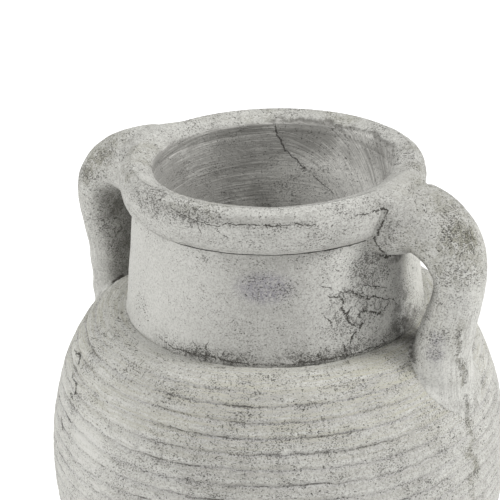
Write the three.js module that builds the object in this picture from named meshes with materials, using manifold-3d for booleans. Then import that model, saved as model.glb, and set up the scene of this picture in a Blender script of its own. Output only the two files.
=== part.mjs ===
// Amphora planter: a two-handled stoneware-look pot with a ribbed shoulder, built from luted sections.
// Millimetres, +Z up. The origin is the centre of the face that the foot ring stands on.
// The right handle lies along +X and the left one opposite it, a little askew.
import * as THREE from 'three';
import { mergeVertices } from 'three/addons/utils/BufferGeometryUtils.js';
import Module from 'manifold-3d';

const wasm = await Module();
wasm.setup();

// Fineness of the round surfaces.
const turnSegments = 36;
const handleSides = 16;
const handleRings = 22;
const innerWallSteps = 7;
const rimSteps = 14;

// Clearance between touching pieces, and the slip bed that lutes two sections together.
const clearance = 0.3;
const slipBed = 2;
const slipRecess = 0.8;
const lapDepth = 8;

// Floor slab with the drain hole, and the foot ring that raises it.
const slabEdgeRadius = 110;
const slabThickness = 18;
const drainHoleRadius = 10;
const drainHoleBevel = 2;
const footHeight = 14;
const footInset = 4;
const footWidth = 20;
const footBevel = 3;

// Body outline: a lower curve from the slab to the belly and an upper one from the belly to the neck.
const bellyRadius = 184;
const bellyRise = 226;
const bellyLowerReach = 100;
const bellyUpperReach = 62;
const lowerFlare = 18;
const lowerFlareRise = 50;
const shoulderRise = 128;
const shoulderReach = 42;
const shoulderCrown = 4;
const bodyWall = 16;

// Thrown ribs: rounded ridges with narrow grooves, counted down from the neck and fading near the slab.
const ribPitch = 11.6;
const ribDepth = 1.8;
const firstGroove = 15;
const bellyJointGroove = 16;
const ribFadeTop = 110;
const ribFadeBottom = 50;

// Neck: a gently tapering slab-built ring on the shoulder, thicker at its foot.
const boreRadius = 92;
const neckRise = 85;
const neckFootWall = 26;
const neckTopWall = 17;

// Rim: a rolled collar with a dished top that slopes down to the bore.
const rimRise = 37;
const rimOverhang = 9;
const rimBulgeRise = 23;
const rimCrestInset = 10;
const rimUndercut = 4;
const lipInset = 1;
const lipDrop = 8;
const lipRounding = 1.5;
const lipDepth = 9;
const rimRollFullness = 0.6;
const rimCrestFullness = 0.7;
const rimSideFullness = 0.9;

// Handles: how far the bar's root lies under the crest, where its foot meets the shoulder, how far it
// bows out, its half thickness and half width at the bend, and the left one's skew from opposite.
const handleRootDrop = 27;
const handleFootLength = 74;
const handleBow = 29;
const handleHalfThickness = 20.5;
const handleHalfWidth = 24.5;
const leftHandleSkew = 3;

// Stations of the bar: down is the share of the way from root to foot, and bow, thick and wide are
// shares of the sizes above.
const handleStations = [
  { down: 0, bow: -0.7, thick: 1.35, wide: 1.4 },
  { down: 0, bow: 0.07, thick: 1.34, wide: 1.36 },
  { down: 0.04, bow: 0.69, thick: 1.26, wide: 1.25 },
  { down: 0.135, bow: 1, thick: 1.14, wide: 1.12 },
  { down: 0.275, bow: 0.98, thick: 1, wide: 1 },
  { down: 0.43, bow: 0.67, thick: 0.9, wide: 0.96 },
  { down: 0.58, bow: 0.26, thick: 0.88, wide: 0.94 },
  { down: 0.72, bow: -0.1, thick: 0.9, wide: 0.98 },
  { down: 0.85, bow: -0.31, thick: 0.9, wide: 1.04 },
  { down: 0.97, bow: -0.4, thick: 0.62, wide: 0.92 },
  { down: 1.08, bow: -0.52, thick: 0.35, wide: 0.6 },
];

// Heights and radii that follow from the sizes above.
const footRadius = slabEdgeRadius - footInset;
const bellyHeight = footHeight + bellyRise;
const neckFootHeight = bellyHeight + shoulderRise;
const neckTopHeight = neckFootHeight + neckRise;
const rimHeight = neckTopHeight + rimRise;
const neckFootRadius = boreRadius + neckFootWall;
const neckTopRadius = boreRadius + neckTopWall;
const rimRadius = neckTopRadius + rimOverhang;

// Fired clay with a pale cement-like finish, and the paler slip in the joints.
const stone = new THREE.MeshStandardMaterial({ color: 0xb9b7b0, roughness: 0.92, metalness: 0 });
const innerStone = new THREE.MeshStandardMaterial({ color: 0x9a9893, roughness: 0.95, metalness: 0 });
const slip = new THREE.MeshStandardMaterial({ color: 0x8f8d86, roughness: 0.95, metalness: 0 });

const planter = new THREE.Group();

function addPiece(name, geometry, material) {
  const mesh = new THREE.Mesh(geometry, material);
  mesh.name = name;
  planter.add(mesh);
}

// Positions only, with shared vertices merged, so that the surface is closed.
function closedSurface(geometry) {
  geometry.deleteAttribute('normal');
  geometry.deleteAttribute('uv');
  return mergeVertices(geometry, 1e-4);
}

function withNormals(geometry) {
  geometry.computeVertexNormals();
  return geometry;
}

// Profile points are [radius, height]. Listed with the material on the left, the faces point outwards.
function revolve(profile) {
  const area = profile.reduce((sum, [r, z], i) => {
    const [nextR, nextZ] = profile[(i + 1) % profile.length];
    return sum + r * nextZ - nextR * z;
  }, 0);
  const ordered = area > 0 ? profile : [...profile].reverse();
  const points = [...ordered, ordered[0]].map(([r, z]) => new THREE.Vector2(r, z));
  const geometry = new THREE.LatheGeometry(points, turnSegments);
  geometry.rotateX(Math.PI / 2);
  return withNormals(closedSurface(geometry));
}

function toSolid(geometry) {
  return new wasm.Manifold(new wasm.Mesh({
    numProp: 3,
    vertProperties: new Float32Array(geometry.attributes.position.array),
    triVerts: new Uint32Array(geometry.index.array),
  }));
}

function toGeometry(solid) {
  const mesh = solid.getMesh();
  const geometry = new THREE.BufferGeometry();
  geometry.setAttribute('position', new THREE.BufferAttribute(mesh.vertProperties, 3));
  geometry.setIndex(new THREE.BufferAttribute(mesh.triVerts, 1));
  return withNormals(geometry);
}

// Body outline from the neck down to the slab, measured by its own length.
const bodyOutline = new THREE.CurvePath();
bodyOutline.add(new THREE.CubicBezierCurve(
  new THREE.Vector2(neckFootRadius, neckFootHeight),
  new THREE.Vector2(neckFootRadius + shoulderReach, neckFootHeight + shoulderCrown),
  new THREE.Vector2(bellyRadius, bellyHeight + bellyUpperReach),
  new THREE.Vector2(bellyRadius, bellyHeight),
));
bodyOutline.add(new THREE.CubicBezierCurve(
  new THREE.Vector2(bellyRadius, bellyHeight),
  new THREE.Vector2(bellyRadius, bellyHeight - bellyLowerReach),
  new THREE.Vector2(slabEdgeRadius + lowerFlare, footHeight + lowerFlareRise),
  new THREE.Vector2(slabEdgeRadius, footHeight),
));
const outlineLength = bodyOutline.getLength();

// A point of the outline at a length below the neck, moved outwards by an offset.
function outlinePoint(length, offset = 0) {
  const share = THREE.MathUtils.clamp(length / outlineLength, 0, 1);
  const point = bodyOutline.getPointAt(share);
  const tangent = bodyOutline.getTangentAt(share);
  return [point.x - tangent.y * offset, point.y + tangent.x * offset];
}

// The length below the neck at which the outline passes a height.
function lengthAtHeight(height) {
  let above = 0;
  let below = outlineLength;
  while (below - above > 0.01) {
    const middle = (above + below) / 2;
    if (outlinePoint(middle)[1] > height) above = middle;
    else below = middle;
  }
  return above;
}

// One rib as [share of the pitch, share of the depth]: the groove, then the ridge's points.
const roundRib = [[0, 1], [0.28, 0.12], [0.72, 0.12]];
const sharpRib = [[0, 1], [0.5, 0]];
const endMargin = 1;

// Ribbed skin between two lengths below the neck, listed downwards.
function ribbedSkin(top, bottom, rib) {
  const skin = [];
  for (let start = firstGroove; start < bottom; start += ribPitch) {
    for (const [along, sunk] of rib) {
      const length = start + along * ribPitch;
      const fade = THREE.MathUtils.smoothstep(outlinePoint(length)[1], ribFadeBottom, ribFadeTop);
      const inside = length > top + endMargin && length < bottom - endMargin;
      if (inside && (fade > 0 || along === 0)) skin.push(outlinePoint(length, -ribDepth * sunk * fade));
    }
  }
  return skin;
}

// Inner face of the body between two lengths below the neck, listed downwards.
function innerSkin(top, bottom) {
  const skin = [];
  for (let i = 0; i <= innerWallSteps; i += 1) {
    const point = outlinePoint(THREE.MathUtils.lerp(top, bottom, i / innerWallSteps), -bodyWall);
    if (point[0] > boreRadius + clearance) skin.push(point);
  }
  return skin;
}

// A lapped joint: the upper section's inner half drops past the slip bed onto a ledge of the lower one.
function lapJoint(height, outerRadius, innerRadius) {
  return { height, outerRadius, innerRadius, middle: (outerRadius + innerRadius) / 2 };
}

// Lower section's end, listed from outside to inside.
function ledge(joint) {
  const bedFloor = joint.height - slipBed / 2;
  const register = joint.middle + clearance / 2;
  return [
    [joint.outerRadius, bedFloor],
    [register, bedFloor],
    [register, joint.height - lapDepth],
    [joint.innerRadius, joint.height - lapDepth],
  ];
}

// Upper section's end, listed from inside to outside.
function tongue(joint) {
  const bedRoof = joint.height + slipBed / 2;
  const register = joint.middle - clearance / 2;
  const seat = joint.height - lapDepth + clearance;
  return [
    [joint.innerRadius, seat],
    [register, seat],
    [register, bedRoof],
    [joint.outerRadius, bedRoof],
  ];
}

function slipRing(joint) {
  const inner = joint.middle + clearance / 2;
  const outer = joint.outerRadius - slipRecess;
  const floor = joint.height - slipBed / 2 + clearance;
  const roof = joint.height + slipBed / 2 - clearance;
  return revolve([[inner, floor], [outer, floor], [outer, roof], [inner, roof]]);
}

// Joints from the bottom to the top.
const slabTop = footHeight + slabThickness;
const wallFootLength = lengthAtHeight(slabTop);
const [wallFootRadius] = outlinePoint(wallFootLength);
const bellyJointLength = firstGroove + bellyJointGroove * ribPitch;
const [bellyJointRadius, bellyJointHeight] = outlinePoint(bellyJointLength, -ribDepth);
const wallFootJoint = lapJoint(slabTop, wallFootRadius, wallFootRadius - bodyWall);
const bellyJoint = lapJoint(bellyJointHeight, bellyJointRadius, bellyJointRadius - bodyWall + ribDepth);
const neckJoint = lapJoint(neckFootHeight, neckFootRadius, boreRadius);
const rimJoint = lapJoint(neckTopHeight, neckTopRadius, boreRadius);

function footRing() {
  const innerRadius = footRadius - footWidth;
  const top = footHeight - slipBed / 2;
  return revolve([
    [innerRadius + footBevel, 0],
    [footRadius - footBevel, 0],
    [footRadius, footBevel],
    [footRadius, top],
    [innerRadius, top],
    [innerRadius, footBevel],
  ]);
}

function footSlip() {
  const innerRadius = footRadius - footWidth + slipRecess;
  const outerRadius = footRadius - slipRecess;
  const floor = footHeight - slipBed / 2 + clearance;
  const roof = footHeight + slipBed / 2 - clearance;
  return revolve([[innerRadius, floor], [outerRadius, floor], [outerRadius, roof], [innerRadius, roof]]);
}

function floorSlab() {
  const underside = footHeight + slipBed / 2;
  const drainTop = wallFootJoint.height - lapDepth;
  return revolve([
    [drainHoleRadius, underside + drainHoleBevel],
    [drainHoleRadius + drainHoleBevel, underside],
    [slabEdgeRadius, underside],
    ...ledge(wallFootJoint).slice(0, 3),
    [wallFootJoint.middle + clearance / 2, drainTop],
    [drainHoleRadius + drainHoleBevel, drainTop],
    [drainHoleRadius, drainTop - drainHoleBevel],
  ]);
}

function lowerBody() {
  const inner = innerSkin(bellyJointLength, wallFootLength).slice(1, -1);
  return revolve([
    ...tongue(wallFootJoint),
    ...ribbedSkin(bellyJointLength, wallFootLength, sharpRib).reverse(),
    ...ledge(bellyJoint),
    ...inner.filter(([, z]) => z < bellyJoint.height - lapDepth - endMargin),
  ]);
}

function upperBody() {
  const inner = innerSkin(0, bellyJointLength);
  const neckLedge = neckJoint.height - lapDepth;
  return revolve([
    ...tongue(bellyJoint),
    ...ribbedSkin(0, bellyJointLength, roundRib).reverse(),
    ...ledge(neckJoint),
    ...inner.filter(([, z]) => z > bellyJoint.height + endMargin && z < neckLedge - endMargin),
  ]);
}

function neck() {
  return revolve([...tongue(neckJoint), ...ledge(rimJoint)]);
}

// A point between two others, by a share of the way across and a share of the way up.
function between(low, high, across, rise) {
  return new THREE.Vector2(
    THREE.MathUtils.lerp(low.x, high.x, across),
    THREE.MathUtils.lerp(low.y, high.y, rise),
  );
}

const rimCrease = new THREE.Vector2(neckTopRadius, neckTopHeight + slipBed / 2);
const rimBulge = new THREE.Vector2(rimRadius, neckTopHeight + rimBulgeRise);
const rimCrest = new THREE.Vector2(rimRadius - rimCrestInset, rimHeight);
const rimLip = new THREE.Vector2(boreRadius - lipInset, rimHeight - lipDrop);

// Rolled outside of the rim, listed upwards from the crease at the neck to the crest.
const rimRoll = new THREE.SplineCurve([
  rimCrease,
  new THREE.Vector2(between(rimCrease, rimBulge, rimRollFullness, 0).x, rimCrease.y + rimUndercut),
  between(rimCrease, rimBulge, rimSideFullness, rimRollFullness),
  rimBulge,
  between(rimBulge, rimCrest, 1 - rimCrestFullness, rimCrestFullness),
  rimCrest,
]);

// Dished top of the rim, listed inwards from the crest to the bore.
const rimDish = new THREE.SplineCurve([
  rimCrest,
  between(rimLip, rimCrest, 1 - rimRollFullness, rimRollFullness),
  new THREE.Vector2(rimLip.x + lipRounding, rimLip.y + lipRounding),
  new THREE.Vector2(rimLip.x, rimLip.y - lipRounding),
  new THREE.Vector2(boreRadius, rimLip.y - lipDepth),
]);

function splinePoints(curve, steps) {
  return curve.getPoints(steps).map((point) => [point.x, point.y]);
}

function rim() {
  return revolve([
    ...tongue(rimJoint).slice(0, 3),
    ...splinePoints(rimRoll, rimSteps / 2),
    ...splinePoints(rimDish, rimSteps / 2).slice(1),
  ]);
}

// Everything inside the pot's outer face, grown by an offset, from the belly to above the rim.
function potEnvelope(offset) {
  const steps = 20;
  const bellyLength = lengthAtHeight(bellyHeight);
  const body = [];
  for (let i = steps; i >= 0; i -= 1) body.push(outlinePoint((bellyLength * i) / steps, offset));
  const roll = splinePoints(rimRoll, rimSteps / 2).map(([r, z]) => [r + offset, z]);
  const top = rimHeight + lapDepth;
  return toSolid(revolve([
    [0, bellyHeight],
    ...body.filter(([r]) => r > neckFootRadius + offset),
    [neckFootRadius + offset, neckFootHeight + offset],
    [neckTopRadius + offset, neckTopHeight],
    ...roll,
    [rimCrest.x + offset, top],
    [0, top],
  ]));
}

// Stations as points [reach, size, height], so that one curve carries the centre line and a size.
function stationCurve(share, size) {
  const [footReach, footZ] = outlinePoint(handleFootLength);
  return new THREE.CatmullRomCurve3(handleStations.map((station) => new THREE.Vector3(
    THREE.MathUtils.lerp(rimRadius, footReach, station.down) + station.bow * handleBow,
    station[share] * size,
    THREE.MathUtils.lerp(rimHeight - handleRootDrop, footZ, station.down),
  )));
}

// A capped cylinder bent along the stations, with an oval section that follows their sizes.
function handleBar(turn) {
  const thickness = stationCurve('thick', handleHalfThickness);
  const width = stationCurve('wide', handleHalfWidth);
  const centre = stationCurve('down', 0);
  const geometry = closedSurface(new THREE.CylinderGeometry(1, 1, 1, handleSides, handleRings));
  const position = geometry.attributes.position;
  for (let i = 0; i < position.count; i += 1) {
    const share = position.getY(i) + 0.5;
    const point = centre.getPoint(share);
    const tangent = centre.getTangent(share);
    const half = thickness.getPoint(share).y * position.getX(i);
    const side = width.getPoint(share).y * position.getZ(i);
    position.setXYZ(i, point.x - tangent.z * half, side, point.z + tangent.x * half);
  }
  geometry.rotateZ(turn);
  return toSolid(geometry);
}

// A handle cut to the pot's face, and the pads of slip at its foot and its root, lowest first.
function addHandle(side, turn) {
  const bar = handleBar(turn);
  const handle = bar.subtract(potEnvelope(slipBed));
  const pads = bar.intersect(potEnvelope(slipBed - clearance)).subtract(potEnvelope(clearance)).decompose();
  pads.sort((a, b) => a.boundingBox().max[2] - b.boundingBox().max[2]);
  addPiece(`handle_${side}`, toGeometry(handle), stone);
  addPiece(`handle_${side}_foot_slip`, toGeometry(pads[0]), slip);
  addPiece(`handle_${side}_root_slip`, toGeometry(pads[pads.length - 1]), slip);
}

addPiece('foot_ring', footRing(), stone);
addPiece('foot_slip', footSlip(), slip);
addPiece('floor_slab', floorSlab(), innerStone);
addPiece('floor_slip', slipRing(wallFootJoint), slip);
addPiece('lower_body', lowerBody(), stone);
addPiece('belly_slip', slipRing(bellyJoint), slip);
addPiece('upper_body', upperBody(), stone);
addPiece('neck_slip', slipRing(neckJoint), slip);
addPiece('neck', neck(), stone);
addPiece('rim_slip', slipRing(rimJoint), slip);
addPiece('rim', rim(), stone);
addHandle('right', 0);
addHandle('left', THREE.MathUtils.degToRad(180 + leftHandleSkew));

export default planter;
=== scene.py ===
"""Amphora planter: a weathered two-handled pot with a ribbed body, dressed section by section."""
import math

import bpy
import numpy as np
from bpy.props import FloatProperty, FloatVectorProperty, IntProperty, PointerProperty
from mathutils import Matrix, Vector


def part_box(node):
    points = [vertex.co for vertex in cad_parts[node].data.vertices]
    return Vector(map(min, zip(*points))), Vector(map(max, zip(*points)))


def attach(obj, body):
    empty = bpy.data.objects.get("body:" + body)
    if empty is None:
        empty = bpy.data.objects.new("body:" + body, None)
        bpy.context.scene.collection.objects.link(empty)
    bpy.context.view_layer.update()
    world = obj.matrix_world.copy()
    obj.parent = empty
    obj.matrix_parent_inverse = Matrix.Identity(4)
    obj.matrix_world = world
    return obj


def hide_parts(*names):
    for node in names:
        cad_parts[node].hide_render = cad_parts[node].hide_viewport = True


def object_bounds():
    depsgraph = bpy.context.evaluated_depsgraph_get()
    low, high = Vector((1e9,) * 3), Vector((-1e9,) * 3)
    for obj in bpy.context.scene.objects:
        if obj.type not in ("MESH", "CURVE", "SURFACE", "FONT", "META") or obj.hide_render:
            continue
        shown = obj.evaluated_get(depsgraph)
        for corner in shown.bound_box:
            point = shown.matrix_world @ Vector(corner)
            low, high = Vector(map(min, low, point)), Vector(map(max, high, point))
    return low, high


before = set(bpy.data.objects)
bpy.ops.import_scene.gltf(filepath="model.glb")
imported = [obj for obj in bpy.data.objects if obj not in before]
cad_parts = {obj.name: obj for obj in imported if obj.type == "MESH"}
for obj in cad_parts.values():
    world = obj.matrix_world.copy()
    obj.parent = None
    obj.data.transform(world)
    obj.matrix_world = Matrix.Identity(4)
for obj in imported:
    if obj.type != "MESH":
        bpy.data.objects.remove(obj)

bl_info = {
    "name": "Amphora planter",
    "version": (1, 0, 0),
    "blender": (4, 5, 0),
    "location": "View3D > Sidebar > Planter",
    "description": "Builds a weathered two-handled pot from its luted sections",
    "category": "Object",
}

MM = 0.001
LOW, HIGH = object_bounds()
RIM_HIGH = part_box("rim")[1]
NECK_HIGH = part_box("neck")[1]
FOOT_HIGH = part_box("foot_ring")[1]

# Points round each section, and rows and points round a handle.
BODY_COLUMNS = 486
NECK_COLUMNS = 570
RIM_COLUMNS = 620
FOOT_COLUMNS = 360
SLAB_COLUMNS = 300
BEAD_COLUMNS = 420
HANDLE_ROWS = 270
HANDLE_COLUMNS = 136

# Spacing of the rows on the neck's face and in its bore, on the rim and in its bore, and on the small parts.
NECK_STEP = 1.25 * MM
BORE_STEP = 1.9 * MM
RIM_STEP = 0.95 * MM
RIM_BORE_STEP = 1.6 * MM
FOOT_STEP = 1.5 * MM
SLAB_STEP = 2.2 * MM
BEAD_STEP = 0.9 * MM

# How far neck and rim swell towards each other at the crease and in the bore, and how far in their beds stop.
CREASE_SWELL = 0.3 * MM
BORE_SWELL = 0.12 * MM
BED_INSET = 1.8 * MM

# Radius of the wall that the cracks are drawn on.
CRACK_RADIUS = 114 * MM


def length(name, default, description):
    """A length property in metres."""
    return FloatProperty(name=name, description=description, default=default, unit="LENGTH", precision=4)


def colour(name, default, description):
    """A colour property."""
    return FloatVectorProperty(name=name, description=description, default=default,
                               subtype="COLOR", size=3, min=0.0, max=1.0)


def bearing(name, degrees, description):
    """An angle property, its default given in degrees."""
    return FloatProperty(name=name, description=description, default=math.radians(degrees), subtype="ANGLE")


def number(name, default, description):
    """A plain number property."""
    return FloatProperty(name=name, description=description, default=default)


class PotSizes(bpy.types.PropertyGroup):
    """Sizes of the sections, the same as in the solids underneath."""

    neck_foot_height: length("Neck foot height", 368 * MM, "Height of the shoulder at the neck")
    neck_foot_radius: length("Neck foot radius", NECK_HIGH[0], "Outer radius of the neck at the shoulder")
    neck_top_height: length("Neck top height", 453 * MM, "Height of the crease under the rim")
    neck_top_radius: length("Neck top radius", 109 * MM, "Outer radius of the neck under the rim")
    bore_radius: length("Bore radius", 92 * MM, "Radius inside the neck")
    rim_radius: length("Rim radius", 118 * MM, "Largest radius of the rolled rim")
    rim_height: length("Rim height", RIM_HIGH[2], "Height of the rim's crest")
    rim_bulge_height: length("Rim bulge height", 476 * MM, "Height at which the rim is widest")
    rim_crest_radius: length("Rim crest radius", 108 * MM, "Radius of the rim's crest")
    rim_undercut: length("Rim undercut", 4 * MM, "Height of the rim's undercut over the crease")
    lip_radius: length("Lip radius", 91 * MM, "Radius of the lip at the bore")
    lip_height: length("Lip height", 482 * MM, "Height of the lip at the bore")
    lip_rounding: length("Lip rounding", 1.5 * MM, "Rounding of the lip")
    lip_depth: length("Lip depth", 9 * MM, "Depth over which the lip meets the bore")
    shoulder_reach: length("Shoulder reach", 42 * MM, "How far the shoulder runs out before it turns down")
    shoulder_crown: length("Shoulder crown", 4 * MM, "How far the shoulder's curve aims over the neck's foot")
    belly_radius: length("Belly radius", 184 * MM, "Largest radius of the body")
    belly_height: length("Belly height", 240 * MM, "Height of the largest radius")
    belly_upper_reach: length("Belly upper reach", 62 * MM, "Fullness of the body over the belly")
    belly_lower_reach: length("Belly lower reach", 100 * MM, "Fullness of the body under the belly")
    lower_flare: length("Lower flare", 18 * MM, "How far the lowest wall leans out")
    lower_flare_rise: length("Lower flare rise", 50 * MM, "Height over which the lowest wall leans out")
    slab_edge_radius: length("Slab edge radius", 110 * MM, "Radius of the floor slab's lower edge")
    foot_height: length("Foot height", 14 * MM, "Height of the foot ring")
    foot_radius: length("Foot radius", FOOT_HIGH[0], "Outer radius of the foot ring")
    foot_width: length("Foot width", 20 * MM, "Width of the foot ring's wall")
    slab_top: length("Slab top", 32 * MM, "Height of the joint between floor and wall")
    drain_radius: length("Drain radius", 10 * MM, "Radius of the drain hole")
    body_wall: length("Body wall", 16 * MM, "Thickness of the body's wall")
    lap_depth: length("Lap depth", 8 * MM, "Depth of the lapped joints")
    slip_bed: length("Slip bed", 2 * MM, "Thickness of the slip bed in a joint")
    joint_gap: length("Joint gap", 0.3 * MM, "Gap between two sections in a lap")


class HandleSizes(bpy.types.PropertyGroup):
    """Sizes of the handles."""

    root_drop: length("Root drop", 27 * MM, "How far the root lies under the rim's crest")
    foot_length: length("Foot length", 74 * MM, "Where the foot meets the body, along its skin from the neck")
    bow: length("Bow", 29 * MM, "How far the bar bows out of a straight line")
    half_thickness: length("Half thickness", 20.5 * MM, "Half the bar's thickness at the bend")
    half_width: length("Half width", 24.5 * MM, "Half the bar's width at the bend")
    left_skew: bearing("Left skew", 3.0, "Turn of the left handle from straight opposite")
    top_fillet: length("Top fillet", 15 * MM, "Rounding where the bar runs into the rim's top")
    side_fillet: length("Side fillet", 1.2 * MM, "Rounding where the bar's sides meet the pot")
    foot_fillet: length("Foot fillet", 5 * MM, "Rounding where the bar's foot meets the shoulder")


class ReliefSizes(bpy.types.PropertyGroup):
    """Depths of the surface relief."""

    rib_pitch: length("Rib pitch", 11.6 * MM, "Distance between two grooves along the skin")
    rib_depth: length("Rib depth", 1.8 * MM, "Depth of a groove")
    first_groove: length("First groove", 15 * MM, "Distance of the first groove from the neck")
    rib_fade_top: length("Rib fade top", 110 * MM, "Height under which the ribs start to fade")
    rib_fade_bottom: length("Rib fade bottom", 50 * MM, "Height at which the ribs are gone")
    lump: length("Lump", 0.55 * MM, "Height of the hand-made unevenness")
    pit: length("Pit", 1.1 * MM, "Depth of the pits")
    skin_inset: length("Skin inset", 0.6 * MM, "How far the skin lies inside the solids")
    belly_groove: IntProperty(name="Belly groove", description="The groove that hides the belly joint",
                              default=16, min=1)


class ClayFinish(bpy.types.PropertyGroup):
    """Colours of the clay, the wash, the soiling and the painted shade."""

    wash: colour("Wash", (0.505, 0.502, 0.474), "Pale cement wash")
    shade: colour("Shade", (0.310, 0.306, 0.286), "Clay under a thin wash")
    warm: colour("Warm", (0.380, 0.372, 0.312), "Ochre tint of the shoulder")
    moss: colour("Moss", (0.240, 0.236, 0.190), "Greenish stain on the handles")
    # Also the cool painted shade in the rib grooves.
    violet: colour("Violet", (0.240, 0.232, 0.248), "Cool bruise on the neck")
    # The dark colour of pits and cracks, also used for painted shade in creases, under the handle roots and
    # along the lip.
    grime_and_shade: colour("Grime", (0.046, 0.042, 0.036), "Dirt in pits, grooves and cracks")
    # Painted light: lighter than the wash, to make up for the shade in the bore.
    inside: colour("Inside", (0.720, 0.712, 0.676), "Wiped clay inside the neck")
    inside_dark: colour("Inside dark", (0.300, 0.294, 0.276), "Wet-wiped streaks inside the neck")
    slip: colour("Slip", (0.250, 0.245, 0.230), "Dry slip in the joints")


class StudioSizes(bpy.types.PropertyGroup):
    """Floor, lights and camera."""

    floor_colour: colour("Floor colour", (0.97, 0.97, 0.97), "Pale floor")
    sun_strength: number("Sun strength", 1.87, "Strength of the soft light")
    sun_side: bearing("Sun side", 72.0, "Turn of the light to the left of the camera")
    sun_rise: bearing("Sun rise", 36.0, "Height of the light over the horizon")
    sun_spread: bearing("Sun spread", 50.0, "Width of the light, which softens its shadows")
    fill_strength: number("Fill strength", 3.05, "Strength of the fill light")
    fill_side: bearing("Fill side", 85.0, "Turn of the fill light to the right of the camera")
    fill_rise: bearing("Fill rise", 40.0, "Height of the fill light over the horizon")
    fill_spread: bearing("Fill spread", 22.0, "Width of the fill light")
    sky_strength: number("Sky strength", 0.52, "Strength of the even light")
    camera_turn: bearing("Camera turn", 34.8, "Turn of the camera round the pot")
    camera_pitch: bearing("Camera pitch", 23.58, "Height of the camera over the horizon")
    camera_roll: bearing("Camera roll", 1.675, "Roll of the camera")
    camera_distance: length("Camera distance", 1.329, "Distance from the camera to the aim point")
    aim_side: length("Aim side", -18.9 * MM, "Aim point, to the camera's right of the pot's axis")
    aim_height: length("Aim height", 410.2 * MM, "Height of the aim point")
    lens: number("Lens", 122.4, "Focal length in millimetres")


GROUPS = {
    "pot_sizes": PotSizes,
    "pot_handle": HandleSizes,
    "pot_relief": ReliefSizes,
    "pot_clay": ClayFinish,
    "pot_studio": StudioSizes,
}


def settings():
    """The five property groups, in the order of GROUPS."""
    return [getattr(bpy.context.scene, name) for name in GROUPS]


# Noise

def lattice_noise(points, cell, seed):
    """Value noise from -1 to 1: hashed values at the corners of a lattice, blended by quintic fades."""
    scaled = np.asarray(points, dtype=np.float64) / cell
    base = np.floor(scaled).astype(np.int64)
    part = scaled - base
    fade = part ** 3 * (part * (part * 6.0 - 15.0) + 10.0)
    total = np.zeros(scaled.shape[:-1])
    for corner in np.ndindex(2, 2, 2):
        key = base + np.array(corner)
        mixed = key[..., 0] * 73856093 ^ key[..., 1] * 19349663 ^ key[..., 2] * 83492791 ^ seed * 2654435761
        mixed = (mixed ^ (mixed >> 13)) * 1274126177 & 0xFFFFFFFF
        mixed = (mixed ^ (mixed >> 15)) * 2246822519 & 0xFFFFFFFF
        value = ((mixed ^ (mixed >> 16)) & 0xFFFF) / 65535.0
        weight = np.prod(np.where(np.array(corner) == 1, fade, 1.0 - fade), axis=-1)
        total += value * weight
    return total * 2.0 - 1.0


def cloud(points, cell, seed, octaves):
    """Sum of noises whose cell and height halve from one to the next, scaled back to about -1 to 1."""
    total = 0.0
    reach = 0.0
    for octave in range(octaves):
        share = 0.5 ** octave
        total = total + share * lattice_noise(points, cell * share, seed + octave * 17)
        reach += share
    return total / reach * 1.4


def smooth(low, high, value):
    """Smoothstep from 0 at low to 1 at high."""
    share = np.clip((value - low) / (high - low), 0.0, 1.0)
    return share * share * (3.0 - 2.0 * share)


def half_turns(turn):
    """Turns wrapped to lie within half a turn of nought."""
    return (turn + np.pi) % (2 * np.pi) - np.pi


def in_degrees(turn):
    """Turns in degrees, from -180 to 180."""
    return np.degrees(half_turns(turn))


# Curves

def bezier(points, steps):
    """A cubic Bezier curve's points, the Bernstein sum of its four control points."""
    t = np.linspace(0.0, 1.0, steps)[:, None]
    a, b, c, d = (np.array(p) for p in points)
    return (1 - t) ** 3 * a + 3 * (1 - t) ** 2 * t * b + 3 * (1 - t) * t ** 2 * c + t ** 3 * d


def through(points, share):
    """A Catmull-Rom curve through the points, at shares from 0 to 1 of its run."""
    points = np.asarray(points, dtype=float)
    padded = np.vstack([2 * points[0] - points[1], points, 2 * points[-1] - points[-2]])
    place = np.clip(np.asarray(share), 0.0, 1.0) * (len(points) - 1)
    start = np.minimum(place.astype(int), len(points) - 2)
    t = (place - start)[..., None]
    p0, p1, p2, p3 = (padded[start + k] for k in range(4))
    return 0.5 * (2 * p1 + (p2 - p0) * t + (2 * p0 - 5 * p1 + 4 * p2 - p3) * t ** 2
                  + (3 * p1 - p0 - 3 * p2 + p3) * t ** 3)


def unit(vectors):
    """The rows scaled to a length of 1."""
    return vectors / np.linalg.norm(vectors, axis=1)[:, None]


def run_along(points):
    """The polyline's length from its start to each of its points."""
    return np.concatenate([[0.0], np.cumsum(np.linalg.norm(np.diff(points, axis=0), axis=1))])


def points_at(points, run, place):
    """The polyline's points at places along it, from its own points and their lengths along it."""
    return np.stack([np.interp(place, run, points[:, k]) for k in (0, 1)], axis=-1)


def even_steps(points, spacing):
    """The closed polyline's points moved to even steps of about that spacing along it."""
    points = np.vstack([points, points[:1]])
    run = run_along(points)
    count = max(int(round(run[-1] / spacing)), 8)
    return points_at(points, run, np.linspace(0.0, run[-1], count, endpoint=False))


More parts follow.
